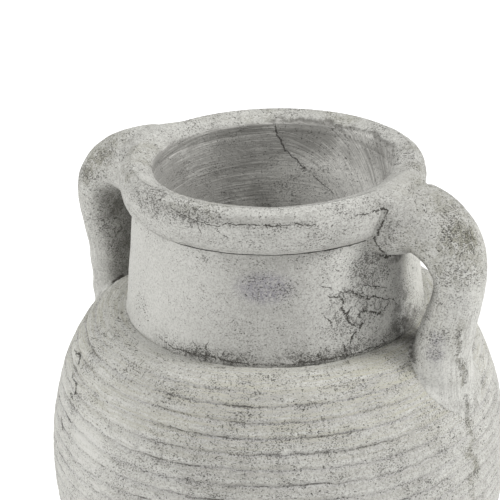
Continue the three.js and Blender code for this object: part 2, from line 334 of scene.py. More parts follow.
class BodyOutline:
    """The body's outline from the neck down to the slab: two Bezier curves measured by their length."""

    def __init__(self, pot):
        neck, shoulder = pot.neck_foot_radius, pot.neck_foot_height
        belly, middle = pot.belly_radius, pot.belly_height
        upper = bezier([(neck, shoulder), (neck + pot.shoulder_reach, shoulder + pot.shoulder_crown),
                        (belly, middle + pot.belly_upper_reach), (belly, middle)], 900)
        lower = bezier([(belly, middle), (belly, middle - pot.belly_lower_reach),
                        (pot.slab_edge_radius + pot.lower_flare, pot.foot_height + pot.lower_flare_rise),
                        (pot.slab_edge_radius, pot.foot_height)], 900)
        self.points = np.vstack([upper, lower[1:]])
        self.run = run_along(self.points)
        self.slope = unit(np.gradient(self.points, self.run, axis=0))

    def at(self, run, offset=0.0):
        """Radius and height at a length below the neck, moved outwards along the normal."""
        r, z = (np.interp(run, self.run, self.points[:, k]) for k in (0, 1))
        across, down = (np.interp(run, self.run, self.slope[:, k]) for k in (0, 1))
        return np.stack([r - down * offset, z + across * offset], axis=-1)

    def run_at(self, height):
        """The length below the neck at which the outline passes a height."""
        return np.interp(-height, -self.points[:, 1], self.run)

    def radius_at(self, height):
        """The outline's radius at a height."""
        return np.interp(-np.asarray(height), -self.points[:, 1], self.points[:, 0])


def rim_outline(pot):
    """The rim's side, from the crease over the bulge to the crest, and its dished top down into the bore."""
    crease = np.array([pot.neck_top_radius, pot.neck_top_height + pot.slip_bed / 2])
    bulge = np.array([pot.rim_radius, pot.rim_bulge_height])
    crest = np.array([pot.rim_crest_radius, pot.rim_height])
    lip = np.array([pot.lip_radius, pot.lip_height])

    def between(low, high, across, rise):
        return low + (high - low) * np.array([across, rise])

    roll = [crease, (between(crease, bulge, 0.6, 0)[0], crease[1] + pot.rim_undercut),
            between(crease, bulge, 0.9, 0.6), bulge, between(bulge, crest, 0.3, 0.7), crest]
    dish = [crest, between(lip, crest, 0.4, 0.6), lip + pot.lip_rounding, lip - (0, pot.lip_rounding),
            (pot.bore_radius, lip[1] - pot.lip_depth)]
    steps = np.linspace(0.0, 1.0, 60)
    return through(roll, steps), through(dish, steps)


# Meshes

def grid_mesh(name, points, wrap_rows=True, marks=None, flip=False):
    """A mesh of quads between the rows and columns of a grid of points, whose columns run round and close.

    Where the rows don't close, a fan of triangles shuts each end.
    """
    rows, columns = points.shape[:2]
    index = np.arange(rows * columns).reshape(rows, columns)
    low = index if wrap_rows else index[:-1]
    high = np.roll(index, -1, axis=0) if wrap_rows else index[1:]
    quads = np.stack([low, np.roll(low, -1, axis=1), np.roll(high, -1, axis=1), high], axis=-1)
    loops = quads.reshape(-1, 4)[:, ::-1 if flip else 1].ravel()
    starts = np.arange(0, len(loops), 4)
    vertices = points.reshape(-1, 3)
    if not wrap_rows:
        vertices = np.vstack([vertices, points[0].mean(axis=0), points[-1].mean(axis=0)])
        fans = []
        ends = ((index[0], rows * columns, not flip), (index[-1], rows * columns + 1, flip))
        for ring, tip, turned_round in ends:
            fan = np.stack([ring, np.roll(ring, -1), np.full(columns, tip)], axis=-1)
            fans.append(fan[:, ::-1] if turned_round else fan)
        fans = np.vstack(fans)
        starts = np.concatenate([starts, len(loops) + np.arange(0, fans.size, 3)])
        loops = np.concatenate([loops, fans.ravel()])
    mesh = bpy.data.meshes.new(name)
    mesh.vertices.add(len(vertices))
    mesh.vertices.foreach_set("co", vertices.astype(np.float32).ravel())
    mesh.loops.add(len(loops))
    mesh.loops.foreach_set("vertex_index", loops.astype(np.int32))
    mesh.polygons.add(len(starts))
    mesh.polygons.foreach_set("loop_start", starts.astype(np.int32))
    mesh.polygons.foreach_set("use_smooth", np.ones(len(starts), dtype=bool))
    for mark, values in (marks or {}).items():
        layer = mesh.attributes.new(mark, "FLOAT", "POINT")
        data = np.zeros(len(vertices), dtype=np.float32)
        data[:values.size] = values.ravel()
        layer.data.foreach_set("value", data)
    mesh.update(calc_edges=True)
    mesh.validate()
    return mesh


def place_piece(name, mesh, material, nodes):
    """An object at the origin that rides on the pot and stands for its solids."""
    piece = bpy.data.objects.new(name, mesh)
    bpy.context.scene.collection.objects.link(piece)
    mesh.materials.append(material)
    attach(piece, "root")
    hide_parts(*nodes)


def round_axis(radius, turn, height):
    """Points from their radius, their turn round the axis and their height."""
    return np.stack([radius * np.cos(turn), radius * np.sin(turn), height], axis=-1)


def turned(profile, columns):
    """Points, normals and turns of a closed profile turned round: rows along it, columns round the axis."""
    turn = np.linspace(0.0, 2 * np.pi, columns, endpoint=False)
    slope = unit(np.roll(profile, -1, axis=0) - np.roll(profile, 1, axis=0))
    r, z, across, rise = (np.repeat(part[:, None], columns, axis=1) for part in (*profile.T, *slope.T))
    return round_axis(r, turn, z), round_axis(rise, turn, -across), np.broadcast_to(turn, r.shape)


def patches(turn, height, radius):
    """A function that puts a soft oval patch on a wall whose points have these turns, heights and radii.

    A patch is 1 in the middle and 0 outside its half sizes. It is given by its middle, in degrees and in
    millimetres of height, and by its half sizes round the wall and up it, in millimetres.
    """
    def patch(degrees, level, half_round, half_high):
        away = half_turns(turn - math.radians(degrees))
        reach = np.hypot(away * radius / (half_round * MM), (height - level * MM) / (half_high * MM))
        return 1.0 - smooth(0.35, 1.0, reach)

    return patch


# Each crack's points as degrees round the axis, height and half width in millimetres.
BODY_CRACKS = (
    ((-136.8, 339, 0.5), (-133, 341.6, 0.9), (-129, 342.3, 1.0), (-128.4, 340.3, 1.0), (-129, 336.3, 0.9),
     (-129.6, 333, 0.4)),
    ((-129.4, 329, 0.7), (-127, 327.6, 0.9), (-124, 327.6, 0.8), (-123.2, 323, 1.0), (-123.6, 319, 0.4)),
    ((-126, 317.4, 0.6), (-123.4, 316.6, 0.8), (-121.6, 312.5, 0.9), (-122, 309, 0.4)),
    ((-127, 301.3, 0.7), (-124, 300.5, 0.7), (-119.2, 300.5, 0.4)),
    ((-128.4, 293.3, 0.7), (-126.4, 288.8, 0.7)),
)
NECK_CRACKS = (
    # The first crack runs down the crease to the underside of the right handle's root, where its wide end is
    # painted shadow.
    ((-14.8, 453, 1.0), (-14.6, 447, 1.2), (-12.6, 441, 1.4), (-10.4, 436.5, 1.6), (-6, 434, 1.8),
     (1.2, 431, 1.9)),
    ((-36, 417.5, 0.3), (-33, 416.8, 0.7), (-31.4, 416, 0.9), (-30.2, 411, 0.9), (-30.8, 407, 0.8),
     (-29.4, 402, 1.0), (-29, 397.5, 0.9), (-27.6, 393.5, 0.8), (-25.4, 390, 0.4)),
    ((-22, 401, 0.8), (-20.2, 399.5, 0.9), (-18, 398, 0.9), (-14.8, 394, 0.8), (-11.8, 395, 0.8),
     (-8.6, 398, 0.4)),
    ((-22, 401, 0.9), (-23.4, 400, 0.8), (-24.2, 398, 0.8), (-22.8, 394, 0.9), (-22.8, 390.5, 0.9),
     (-24.2, 388, 0.9), (-26, 386.5, 0.8), (-27, 384.5, 0.8), (-27.8, 381.5, 0.8), (-28.4, 377, 0.5)),
    ((-29.4, 400.5, 0.7), (-27.5, 405, 0.3)),
    ((-39, 427, 0.2), (-35.5, 424, 0.4), (-32, 421, 0.5), (-29.2, 419, 0.7), (-25.8, 417, 0.7),
     (-23.2, 413.5, 0.6), (-19.2, 408.5, 0.7), (-15.8, 408.5, 0.6), (-11.2, 403.5, 0.5), (-5.6, 398.5, 0.4)),
    ((-38, 405, 0.3), (-36, 398.5, 0.4), (-34.5, 392, 0.3)),
    ((-20, 420, 0.3), (-14.5, 415.5, 0.4), (-9, 410, 0.2)),
    ((-82.4, 369, 1.0), (-82, 374, 1.0), (-82.4, 379, 0.6), (-81.5, 382, 0.3)),
    ((-75.8, 369, 0.8), (-76.4, 373, 0.7), (-75.8, 377, 0.3)),
    ((-40.4, 369, 0.8), (-41, 374, 0.7), (-40, 378, 0.3)),
    ((-104, 374, 0.3), (-97, 371, 0.6), (-92, 371.5, 0.5), (-86, 370, 0.9), (-80, 371.5, 0.7),
     (-74, 370, 0.9), (-68, 370.5, 0.5), (-60, 369.5, 0.6), (-52, 370, 0.6), (-46, 371, 0.8),
     (-40, 370, 0.8), (-34, 371, 0.7), (-29, 370, 0.5), (-20, 370, 0.5), (-12, 370, 0.3)),
    ((-88, 380, 0.4), (-86.5, 376, 0.8), (-87, 371, 0.7)),
    ((-31, 378, 0.8), (-30.5, 372, 1.1), (-30.5, 368, 0.7)),
)
RIM_CRACKS = (
    ((-26, 479.5, 0.2), (-19.4, 478, 0.6), (-16, 477.6, 0.7)),
    ((-98, 484, 0.21), (-91, 481, 0.35), (-82, 478.5, 0.35), (-76.5, 477.5, 0.42), (-72, 479, 0.35),
     (-67.5, 479.5, 0.42), (-61.5, 480, 0.42), (-55, 479, 0.28), (-47, 479, 0.35), (-42, 478.5, 0.21)),
    ((-83, 474, 0.35), (-82.5, 470.5, 0.28)),
    ((-76, 474, 0.21), (-74, 471, 0.35), (-72.5, 470.5, 0.21)),
)
SEAM_CRACK = (
    ((122, 480, 0.5), (120.5, 470, 0.7), (117.2, 459.5, 0.6), (109.2, 446.5, 0.7), (101.4, 436.5, 0.6),
     (91.8, 425.5, 0.4)),
)

# The crack on the right handle's front flank, with x in millimetres in place of degrees.
ROOT_CRACK = (
    (108, 478.2, 0.5), (113, 477.7, 0.7), (117.7, 476.8, 0.7), (117.4, 471.4, 0.8), (115.3, 465.7, 0.8),
    (112.8, 460.5, 0.9), (109.4, 455.3, 0.9), (109.1, 451.7, 0.9), (111.1, 446.7, 0.9), (112.9, 441.8, 0.7),
)


def crack_marks(points, turn, cracks):
    """Signed distance over half width to the nearest crack on a wall, and nearness from 1 to 0 over 4 mm.

    Each crack is a list of (degrees, height, half width), the last two in millimetres. A point's distance is
    the shortest one to the crack's straight pieces, signed by the side it lies on, and the half width is
    taken where it is nearest. The points are shaken by noise first, which makes the cracks jagged.
    """
    shake = np.stack([lattice_noise(points, 7 * MM, k) * 0.9 + lattice_noise(points, 3 * MM, k + 2) * 0.7
                      for k in (7, 8)], axis=-1)
    fade, margin, far = 4.0, 6.0, 9.0
    side = np.full(turn.shape, far)
    reach = np.full(turn.shape, far)
    for crack in cracks:
        crack = np.array(crack, dtype=float)
        middle = math.radians(crack[:, 0].mean())
        away = half_turns(turn - middle) * CRACK_RADIUS
        place = np.stack([away / MM, points[..., 2] / MM], axis=-1) + shake
        corner = np.stack([(np.radians(crack[:, 0]) - middle) * CRACK_RADIUS / MM, crack[:, 1]], axis=-1)
        low, high = corner.min(axis=0) - margin, corner.max(axis=0) + margin
        near = np.all((place > low) & (place < high), axis=-1)
        if not near.any():
            continue
        spots = place[near]
        best = np.full(len(spots), np.inf)
        signed = np.full(len(spots), np.inf)
        for a, b, wide_a, wide_b in zip(corner[:-1], corner[1:], crack[:-1, 2], crack[1:, 2]):
            run = b - a
            share = np.clip((spots - a) @ run / (run @ run), 0.0, 1.0)
            gap = spots - a - share[:, None] * run
            distance = np.linalg.norm(gap, axis=1)
            hand = np.sign(run[0] * gap[:, 1] - run[1] * gap[:, 0])
            width = wide_a + (wide_b - wide_a) * share
            closer = distance < best
            best = np.where(closer, distance, best)
            signed = np.where(closer, hand * distance / np.maximum(width, 0.05), signed)
        nearer = best < reach[near]
        reach[near] = np.where(nearer, best, reach[near])
        side[near] = np.where(nearer, signed, side[near])
    return {"crack_side": side, "crack_near": np.clip(1.0 - reach / fade, 0.0, 1.0)}


def section_cracks(points, turn, inside, cracks):
    """Crack marks of a section: its own cracks outside, and the lap seam's crack in the bore."""
    outer = crack_marks(points, turn, cracks)
    bore = crack_marks(points, turn, SEAM_CRACK)
    return {mark: np.where(inside > 0.5, bore[mark], outer[mark]) for mark in outer}


def common_relief(points, relief, seed):
    """A hand-made wall's unevenness, from lumps, dents and grain, and its pits in patches from 0 to 1."""
    lumps = cloud(points, 42 * MM, seed, 2) * 0.7 + cloud(points, 13 * MM, seed + 5, 2) * 0.3
    grain = lattice_noise(points, 3.1 * MM, seed + 9) * 0.10
    grain += lattice_noise(points, 1.7 * MM, seed + 10) * 0.06
    patch = smooth(0.0, 0.55, cloud(points, 26 * MM, seed + 20, 2))
    holes = smooth(0.42, 0.85, lattice_noise(points, 3.0 * MM, seed + 30)) * patch
    return lumps * relief.lump + grain * MM, holes


# Shader building

class Graph:
    """Short ways to add nodes to a shader tree and link them."""

    def __init__(self, tree):
        self.tree = tree

    def feed(self, node, inputs):
        """Set a node's inputs. An input that is a socket is linked."""
        for key, value in inputs.items():
            if isinstance(value, bpy.types.NodeSocket):
                self.tree.links.new(value, node.inputs[key])
            else:
                node.inputs[key].default_value = value

    def add(self, kind, inputs=None, **values):
        """A node with its settings and inputs."""
        node = self.tree.nodes.new(kind)
        for key, value in values.items():
            setattr(node, key, value)
        self.feed(node, inputs or {})
        return node

    def maths(self, operation, a, b=0.0, c=0.0, clamp=False):
        """A Math node's value."""
        return self.add("ShaderNodeMath", {0: a, 1: b, 2: c}, operation=operation, use_clamp=clamp).outputs[0]

    def plus(self, a, b):
        """The sum of two values."""
        return self.maths("ADD", a, b)

    def times(self, a, b, clamp=False):
        """The product of two values."""
        return self.maths("MULTIPLY", a, b, clamp=clamp)

    def scaled(self, a, b, c, clamp=False):
        """The first value times the second, plus the third."""
        return self.maths("MULTIPLY_ADD", a, b, c, clamp=clamp)

    def larger(self, a, b):
        """The larger of two values."""
        return self.maths("MAXIMUM", a, b)

    def vector_maths(self, operation, a, b):
        """A Vector Math node's vector."""
        return self.add("ShaderNodeVectorMath", {0: a, 1: b}, operation=operation).outputs[0]

    def noise(self, vector, scale, detail, roughness, output="Fac"):
        """A noise texture's value or colour."""
        inputs = {"Vector": vector, "Scale": scale, "Detail": detail, "Roughness": roughness}
        return self.add("ShaderNodeTexNoise", inputs).outputs[output]

    def cell_edges(self, vector, scale):
        """The distance to the nearest edge between a texture's cells."""
        inputs = {"Vector": vector, "Scale": scale}
        return self.add("ShaderNodeTexVoronoi", inputs, feature="DISTANCE_TO_EDGE").outputs["Distance"]

    def stretched(self, vector, *scale):
        """A vector scaled along each axis."""
        return self.add("ShaderNodeMapping", {"Vector": vector, "Scale": scale}).outputs[0]

    def ramp(self, value, low, high, start=0.0, end=1.0):
        """A smooth step of the value, from start at low to end at high."""
        inputs = {"Value": value, "From Min": low, "From Max": high, "To Min": start, "To Max": end}
        return self.add("ShaderNodeMapRange", inputs, interpolation_type="SMOOTHSTEP").outputs[0]

    def blend(self, factor, a, b):
        """Two colours mixed by a factor."""
        inputs = {0: factor, 6: a, 7: b}
        return self.add("ShaderNodeMix", inputs, data_type="RGBA", clamp_factor=True).outputs[2]

    def mark(self, name):
        """The value of a point attribute."""
        return self.add("ShaderNodeAttribute", attribute_name=name, attribute_type="GEOMETRY").outputs["Fac"]

    def group(self, tree, inputs):
        """A node group with its inputs set."""
        return self.add("ShaderNodeGroup", inputs, node_tree=tree)


def new_group(name, inputs, outputs):
    """An empty shader node group with named sockets, and its graph, input node and output node."""
    tree = bpy.data.node_groups.new(name, "ShaderNodeTree")
    for socket, kind, default in inputs:
        item = tree.interface.new_socket(socket, in_out="INPUT", socket_type=kind)
        if default is not None:
            item.default_value = default
    for socket, kind in outputs:
        tree.interface.new_socket(socket, in_out="OUTPUT", socket_type=kind)
    graph = Graph(tree)
    return tree, graph, tree.nodes.new("NodeGroupInput"), tree.nodes.new("NodeGroupOutput")


FLOAT, VECTOR = "NodeSocketFloat", "NodeSocketVector"


def speck_group():
    """Dark specks: fine noise over a threshold, where a coarser noise lets them gather."""
    tree, graph, given, out = new_group("specks", [
        ("Vector", VECTOR, None), ("Scale", FLOAT, 900.0), ("Amount", FLOAT, 0.5)], [("Mask", FLOAT)])
    vector = given.outputs["Vector"]
    fine = graph.noise(vector, given.outputs["Scale"], 2.0, 0.6)
    gather = graph.noise(vector, 42.0, 3.0, 0.6)
    gather = graph.ramp(gather, 0.42, 0.66, 0.0, 0.075)
    edge = graph.scaled(given.outputs["Amount"], -0.12, 0.70)
    edge = graph.maths("SUBTRACT", edge, gather)
    top = graph.plus(edge, 0.035)
    graph.feed(out, {"Mask": graph.ramp(fine, edge, top)})
    return tree


def pit_group():
    """Small crisp pits: the cores of warped cells, kept where a coarser noise allows them."""
    tree, graph, given, out = new_group("pits", [
        ("Vector", VECTOR, None), ("Scale", FLOAT, 520.0), ("Amount", FLOAT, 0.3)], [("Mask", FLOAT)])
    vector = given.outputs["Vector"]
    warp = graph.vector_maths("MULTIPLY", graph.noise(vector, 620.0, 2.0, 0.6, "Color"), [0.005] * 3)
    place = graph.vector_maths("ADD", vector, warp)
    cells = graph.add("ShaderNodeTexVoronoi", {"Vector": place, "Scale": given.outputs["Scale"]})
    size = graph.add("ShaderNodeSeparateColor", {"Color": cells.outputs["Color"]}).outputs[0]
    gather = graph.ramp(graph.noise(vector, 55.0, 4.0, 0.65), 0.40, 0.64)
    chance = graph.times(given.outputs["Amount"], graph.scaled(gather, 1.3, 0.15))
    chance = graph.maths("MINIMUM", chance, 0.42)
    kept = graph.maths("SUBTRACT", chance, size)
    reach = graph.scaled(kept, 0.5, 0.26)
    core = graph.maths("SUBTRACT", reach, cells.outputs["Distance"])
    mask = graph.times(graph.ramp(core, 0.0, 0.10), graph.ramp(kept, 0.0, 0.04))
    graph.feed(out, {"Mask": mask})
    return tree


def crack_group():
    """A crack's line from its signed distance: shaken and beaded by noise, and kept near the crack."""
    tree, graph, given, out = new_group("crack_line", [
        ("Vector", VECTOR, None), ("Side", FLOAT, 9.0), ("Near", FLOAT, 0.0)], [("Mask", FLOAT)])
    vector = given.outputs["Vector"]
    ragged = graph.scaled(graph.noise(vector, 600.0, 3.0, 0.7), 5.0, -2.5)
    line = graph.maths("ABSOLUTE", graph.plus(given.outputs["Side"], ragged))
    beads = graph.noise(vector, 820.0, 2.0, 0.6)
    line = graph.scaled(beads, -3.4, graph.plus(line, 1.7))
    line = graph.ramp(line, 0.55, 1.15, 1.0, 0.0)
    gaps = graph.ramp(graph.noise(vector, 240.0, 3.0, 0.6), 0.38, 0.48)
    line = graph.times(line, gaps)
    near = graph.ramp(given.outputs["Near"], 0.35, 0.65)
    graph.feed(out, {"Mask": graph.times(line, near)})
    return tree


def crackle_group():
    """A net of fine cracks: the edges of warped cells, broken up by noise."""
    tree, graph, given, out = new_group("crackle", [
        ("Vector", VECTOR, None), ("Scale", FLOAT, 85.0), ("Amount", FLOAT, 1.0)], [("Mask", FLOAT)])
    vector, scale = given.outputs["Vector"], given.outputs["Scale"]
    warp = graph.vector_maths("SUBTRACT", graph.noise(vector, 260.0, 4.0, 0.65, "Color"), [0.5] * 3)
    place = graph.vector_maths("ADD", vector, graph.vector_maths("MULTIPLY", warp, [0.006] * 3))
    line = graph.ramp(graph.cell_edges(place, scale), 0.010, 0.040, 0.8, 0.0)
    hair = graph.ramp(graph.cell_edges(place, graph.times(scale, 2.3)), 0.02, 0.080, 0.9, 0.0)
    sparse = graph.ramp(graph.noise(vector, 130.0, 3.0, 0.6), 0.46, 0.56)
    line = graph.larger(line, graph.times(hair, sparse))
    broken = graph.ramp(graph.noise(vector, 300.0, 3.0, 0.65), 0.46, 0.56)
    line = graph.times(line, broken)
    graph.feed(out, {"Mask": graph.times(line, given.outputs["Amount"], clamp=True)})
    return tree


def grain_group():
    """Height of the clay's grain: fine grit over soft unevenness."""
    tree, graph, given, out = new_group("grain", [("Vector", VECTOR, None)],
                                        [("Height", FLOAT), ("Mottle", FLOAT), ("Grit", FLOAT)])
    vector = given.outputs["Vector"]
    grit = graph.noise(vector, 680.0, 3.0, 0.68)
    dents = graph.noise(vector, 320.0, 3.0, 0.55)
    height = graph.scaled(dents, 0.6, graph.times(grit, 0.4))
    broad = graph.times(graph.noise(vector, 75.0, 3.0, 0.6), 0.4)
    mottle = graph.scaled(graph.noise(vector, 260.0, 4.0, 0.7), 0.6, broad)
    graph.feed(out, {"Height": height, "Mottle": mottle, "Grit": grit})
    return tree


def solid(values):
    """A property colour as four numbers, opaque."""
    return (*values, 1.0)


def new_material(name):
    """A material with a rough Principled shader, and its graph."""
    material = bpy.data.materials.new(name)
    material.use_nodes = True
    tree = material.node_tree
    tree.nodes.clear()
    graph = Graph(tree)
    shader = graph.add("ShaderNodeBsdfPrincipled", {"Roughness": 0.92, "Specular IOR Level": 0.18})
    graph.add("ShaderNodeOutputMaterial", {"Surface": shader.outputs[0]})
    return material, graph, shader


def wiped_group():
    """Streaks left by a wiping hand, along the first of two coordinates and thin across the second."""
    tree, graph, given, out = new_group("wiped", [
        ("Vector", VECTOR, None), ("Along", FLOAT, 0.0), ("Across", FLOAT, 0.0)],
        [("Dark", FLOAT), ("Height", FLOAT)])
    ways = {0: given.outputs["Along"], 1: given.outputs["Across"]}
    wipe = graph.add("ShaderNodeCombineXYZ", ways).outputs[0]
    broad = graph.noise(graph.stretched(wipe, 16.0, 560.0, 1.0), 1.0, 3.0, 0.6)
    fine = graph.noise(graph.stretched(wipe, 60.0, 1300.0, 1.0), 1.0, 2.0, 0.6)
    streak = graph.scaled(broad, 0.6, graph.times(fine, 0.4))
    cloudy = graph.noise(given.outputs["Vector"], 24.0, 3.0, 0.55)
    dark = graph.scaled(cloudy, 0.6, graph.times(streak, 0.9))
    graph.feed(out, {"Dark": graph.ramp(dark, 0.58, 0.90), "Height": streak})
    return tree


def clay_surface(name, clay, groups):
    """Pale wash over grey clay: mottled, specked, tinted in patches, dark in grooves, pits and cracks, with
    painted light and shade from its tone, smudge and groove marks.

    Where the mark inside is 1, it is the darker clay of the inner walls, streaked by wiping and painted
    lighter against the shade in the bore.
    """
    _, graph, shader = new_material(name)
    place = graph.add("ShaderNodeTexCoord").outputs["Object"]
    grain = graph.group(groups["grain"], {"Vector": place})
    mottle = grain.outputs["Mottle"]
    wide = graph.noise(place, 9.0, 3.0, 0.55)
    patch = graph.noise(place, 26.0, 4.0, 0.62)
    coat = graph.mark("coat")
    inside = graph.mark("inside")
    line = graph.mark("groove")
    streak = graph.mark("streak")
    wiped = graph.group(groups["wiped"], {"Vector": place, "Along": graph.mark("along"),
                                          "Across": graph.mark("across")})

    worn = graph.scaled(mottle, 1.1, graph.times(patch, 0.5))
    worn = graph.ramp(graph.scaled(wide, 0.35, worn), 0.82, 1.28)
    thin = graph.scaled(coat, -0.45, 0.65, clamp=True)
    # The tone mark holds real tone and also painted light and shade.
    shade = graph.plus(graph.times(worn, thin), graph.mark("tone_and_painted_light"))
    drawn = graph.times(streak, graph.ramp(wiped.outputs["Height"], 0.40, 0.66, -0.10, 0.55))
    shade = graph.plus(shade, drawn)
    speckled = graph.scaled(coat, -0.25, 0.80)
    speckled = graph.times(speckled, graph.ramp(grain.outputs["Grit"], 0.42, 0.66))
    shade = graph.plus(shade, speckled)
    # Painted highlight: a band on each rib is made lighter.
    shade = graph.scaled(graph.mark("ridge"), -0.30, shade)
    base = graph.blend(shade, solid(clay.wash), solid(clay.shade))
    # Painted shade: the grooves are tinted cool and darker.
    base = graph.blend(graph.times(line, 0.25), base, solid(clay.violet))
    warm = graph.times(graph.mark("warm"), graph.ramp(wiped.outputs["Height"], 0.44, 0.60))
    base = graph.blend(warm, base, solid(clay.warm))
    moss = graph.times(graph.mark("moss"), graph.ramp(mottle, 0.40, 0.60))
    base = graph.blend(moss, base, solid(clay.moss))
    bruise = graph.times(graph.mark("bruise"), graph.ramp(grain.outputs["Grit"], 0.40, 0.58, 0.25, 1.0))
    base = graph.blend(bruise, base, solid(clay.violet))
    # The bore's wiped streaks, together with its tone of painted light and shade.
    wiping_and_shade = graph.plus(wiped.outputs["Dark"], graph.mark("wiping_and_shade"))
    within = graph.blend(wiping_and_shade, solid(clay.inside), solid(clay.inside_dark))
    dusty = graph.ramp(grain.outputs["Grit"], 0.46, 0.66, 0.0, 0.5)
    within = graph.blend(dusty, within, solid(clay.inside_dark))
    base = graph.blend(inside, base, within)

    near_line = graph.times(graph.ramp(line, 0.30, 0.9), 0.40)
    amount = graph.scaled(coat, -0.60, 0.66)
    amount = graph.scaled(inside, -0.3, amount)
    amount = graph.plus(amount, near_line)
    amount = graph.scaled(graph.mark("gritty"), 0.55, amount)
    strewn = graph.stretched(place, 1.0, 1.0, 1.5)
    specks = graph.group(groups["specks"], {"Vector": strewn, "Scale": 780.0, "Amount": amount}).outputs[0]
    often = graph.scaled(coat, -0.08, 0.20)
    often = graph.scaled(graph.mark("gritty"), 0.70, often)
    often = graph.scaled(near_line, 0.45, often)
    pits = graph.group(groups["pits"], {"Vector": strewn, "Scale": 480.0, "Amount": often}).outputs[0]
    # Dark from specks, pits, grooves and cracks, and painted shade from the smudge mark.
    dirt_and_shade = graph.larger(graph.times(specks, 0.72), graph.times(pits, 0.92))
    lying = graph.stretched(place, 1.0, 1.0, 2.2)
    broken = graph.ramp(graph.noise(lying, 42.0, 4.0, 0.7), 0.42, 0.58)
    gritty = graph.ramp(graph.noise(lying, 360.0, 3.0, 0.7), 0.40, 0.56)
    broken = graph.scaled(graph.times(broken, gritty), 0.88, 0.12)
    groove = graph.times(graph.ramp(line, 0.66, 0.96), broken)
    dirt_and_shade = graph.larger(dirt_and_shade, graph.times(groove, 0.88))
    hollow = graph.ramp(graph.mark("hollow"), 0.15, 0.85)
    dirt_and_shade = graph.larger(dirt_and_shade, graph.times(hollow, 0.30))
    crack = graph.group(groups["crack_line"], {"Vector": place, "Side": graph.mark("crack_side"),
                                               "Near": graph.mark("crack_near")}).outputs[0]
    net = graph.group(groups["crackle"], {"Vector": place, "Amount": graph.mark("crackle")}).outputs[0]
    crack = graph.larger(crack, net)
    crack = graph.times(crack, graph.scaled(inside, -0.14, 0.94))
    dirt_and_shade = graph.larger(dirt_and_shade, crack)
    # Painted shade, and some smudges, from the smudge mark.
    smudge_and_shade = graph.times(graph.mark("smudge_and_shade"), graph.ramp(mottle, 0.36, 0.62, 0.35, 1.0))
    dirt_and_shade = graph.larger(dirt_and_shade, smudge_and_shade)
    base = graph.blend(dirt_and_shade, base, solid(clay.grime_and_shade))

    sunk = graph.larger(crack, graph.times(specks, 0.5))
    sunk = graph.larger(sunk, pits)
    height = graph.scaled(sunk, -0.9, grain.outputs["Height"])
    drawn = graph.larger(inside, graph.times(streak, 0.7))
    height = graph.scaled(graph.times(wiped.outputs["Height"], drawn), 0.9, height)
    flat = graph.scaled(coat, -0.30, 0.80)
    bump = graph.add("ShaderNodeBump", {"Strength": flat, "Distance": 1.0 * MM, "Height": height})
    roughness = graph.ramp(worn, 0.0, 1.0, 0.82, 0.97)
    graph.feed(shader, {"Base Color": base, "Normal": bump.outputs[0], "Roughness": roughness})


def joint_slip(name, clay, groups):
    """Dry crumbled slip: dark, sandy and uneven."""
    _, graph, shader = new_material(name)
    place = graph.add("ShaderNodeTexCoord").outputs["Object"]
    grain = graph.group(groups["grain"], {"Vector": place})
    crumbs = graph.ramp(grain.outputs["Mottle"], 0.38, 0.62)
    base = graph.blend(crumbs, solid(clay.slip), solid(clay.shade))
    height = grain.outputs["Height"]
    bump = graph.add("ShaderNodeBump", {"Strength": 0.9, "Distance": 1.2 * MM, "Height": height})
    roughness = graph.ramp(crumbs, 0.0, 1.0, 0.85, 0.98)
    graph.feed(shader, {"Base Color": base, "Normal": bump.outputs[0], "Roughness": roughness})


def finishes():
    """The three clay finishes, made once: the washed outside, the bare floor and the slip in the joints."""
    names = ("washed_clay", "bare_floor_clay", "crumbled_slip")
    if names[0] not in bpy.data.materials:
        clay = bpy.context.scene.pot_clay
        groups = {"specks": speck_group(), "pits": pit_group(), "crack_line": crack_group(),
                  "crackle": crackle_group(), "grain": grain_group(), "wiped": wiped_group()}
        clay_surface(names[0], clay, groups)
        clay_surface(names[1], clay, groups)
        joint_slip(names[2], clay, groups)
    return [bpy.data.materials[name] for name in names]


# Sections

def lay(*runs):
    """Rows of a closed profile from runs of (points, spacing, shown), in order round it.

    An open run is cut into even steps, with one more row close to each end, so that its edges stay crisp. A
    run in a joint keeps its own points. Each run leaves out its last point, which starts the next one. Gives
    the rows and how far each is shown, from 1 on open faces to 0 in a joint.
    """
    rows, shown = [], []
    for points, spacing, open_face in runs:
        points = np.asarray(points, dtype=float)
        run = run_along(points)
        if open_face:
            place = np.linspace(0.0, run[-1], max(int(round(run[-1] / spacing)), 1) + 1)
            place = np.sort(np.concatenate([place, [0.2 * MM, run[-1] - 0.2 * MM]]))[:-1]
        else:
            place = run[:-1]
        rows.append(points_at(points, run, place))
        near = np.minimum(place, run[-1] - place)
        shown.append(open_face * smooth(0.0, 2 * MM, near))
    return np.vstack(rows), np.concatenate(shown)


def ledge(height, outer, inner, pot):
    """Joint face of a lower section, from outside to inside: the bed, the register and the ledge."""
    register = (outer + inner) / 2 + pot.joint_gap / 2
    floor = height - pot.slip_bed / 2
    step = height - pot.lap_depth
    return [(outer, floor), (register, floor), (register, step), (inner, step)]


def tongue(height, outer, inner, pot):
    """Joint face of an upper section, from inside to outside: the tongue's foot and side, the bed's roof."""
    register = (outer + inner) / 2 - pot.joint_gap / 2
    foot = height - pot.lap_depth + pot.joint_gap
    roof = height + pot.slip_bed / 2
    return [(inner, foot), (register, foot), (register, roof), (outer, roof)]


def body_joints(pot, relief, outline):
    """Height, outer and inner radius of the joints at the slab and the belly, and the run to the belly's."""
    run = relief.first_groove + relief.belly_groove * relief.rib_pitch
    radius, height = (float(part) for part in outline.at(run, -relief.rib_depth))
    slab_radius = float(outline.radius_at(pot.slab_top))
    return {
        "slab": (pot.slab_top, slab_radius, slab_radius - pot.body_wall),
        "belly": (height, radius, radius - pot.body_wall + relief.rib_depth),
        "run": run,
    }


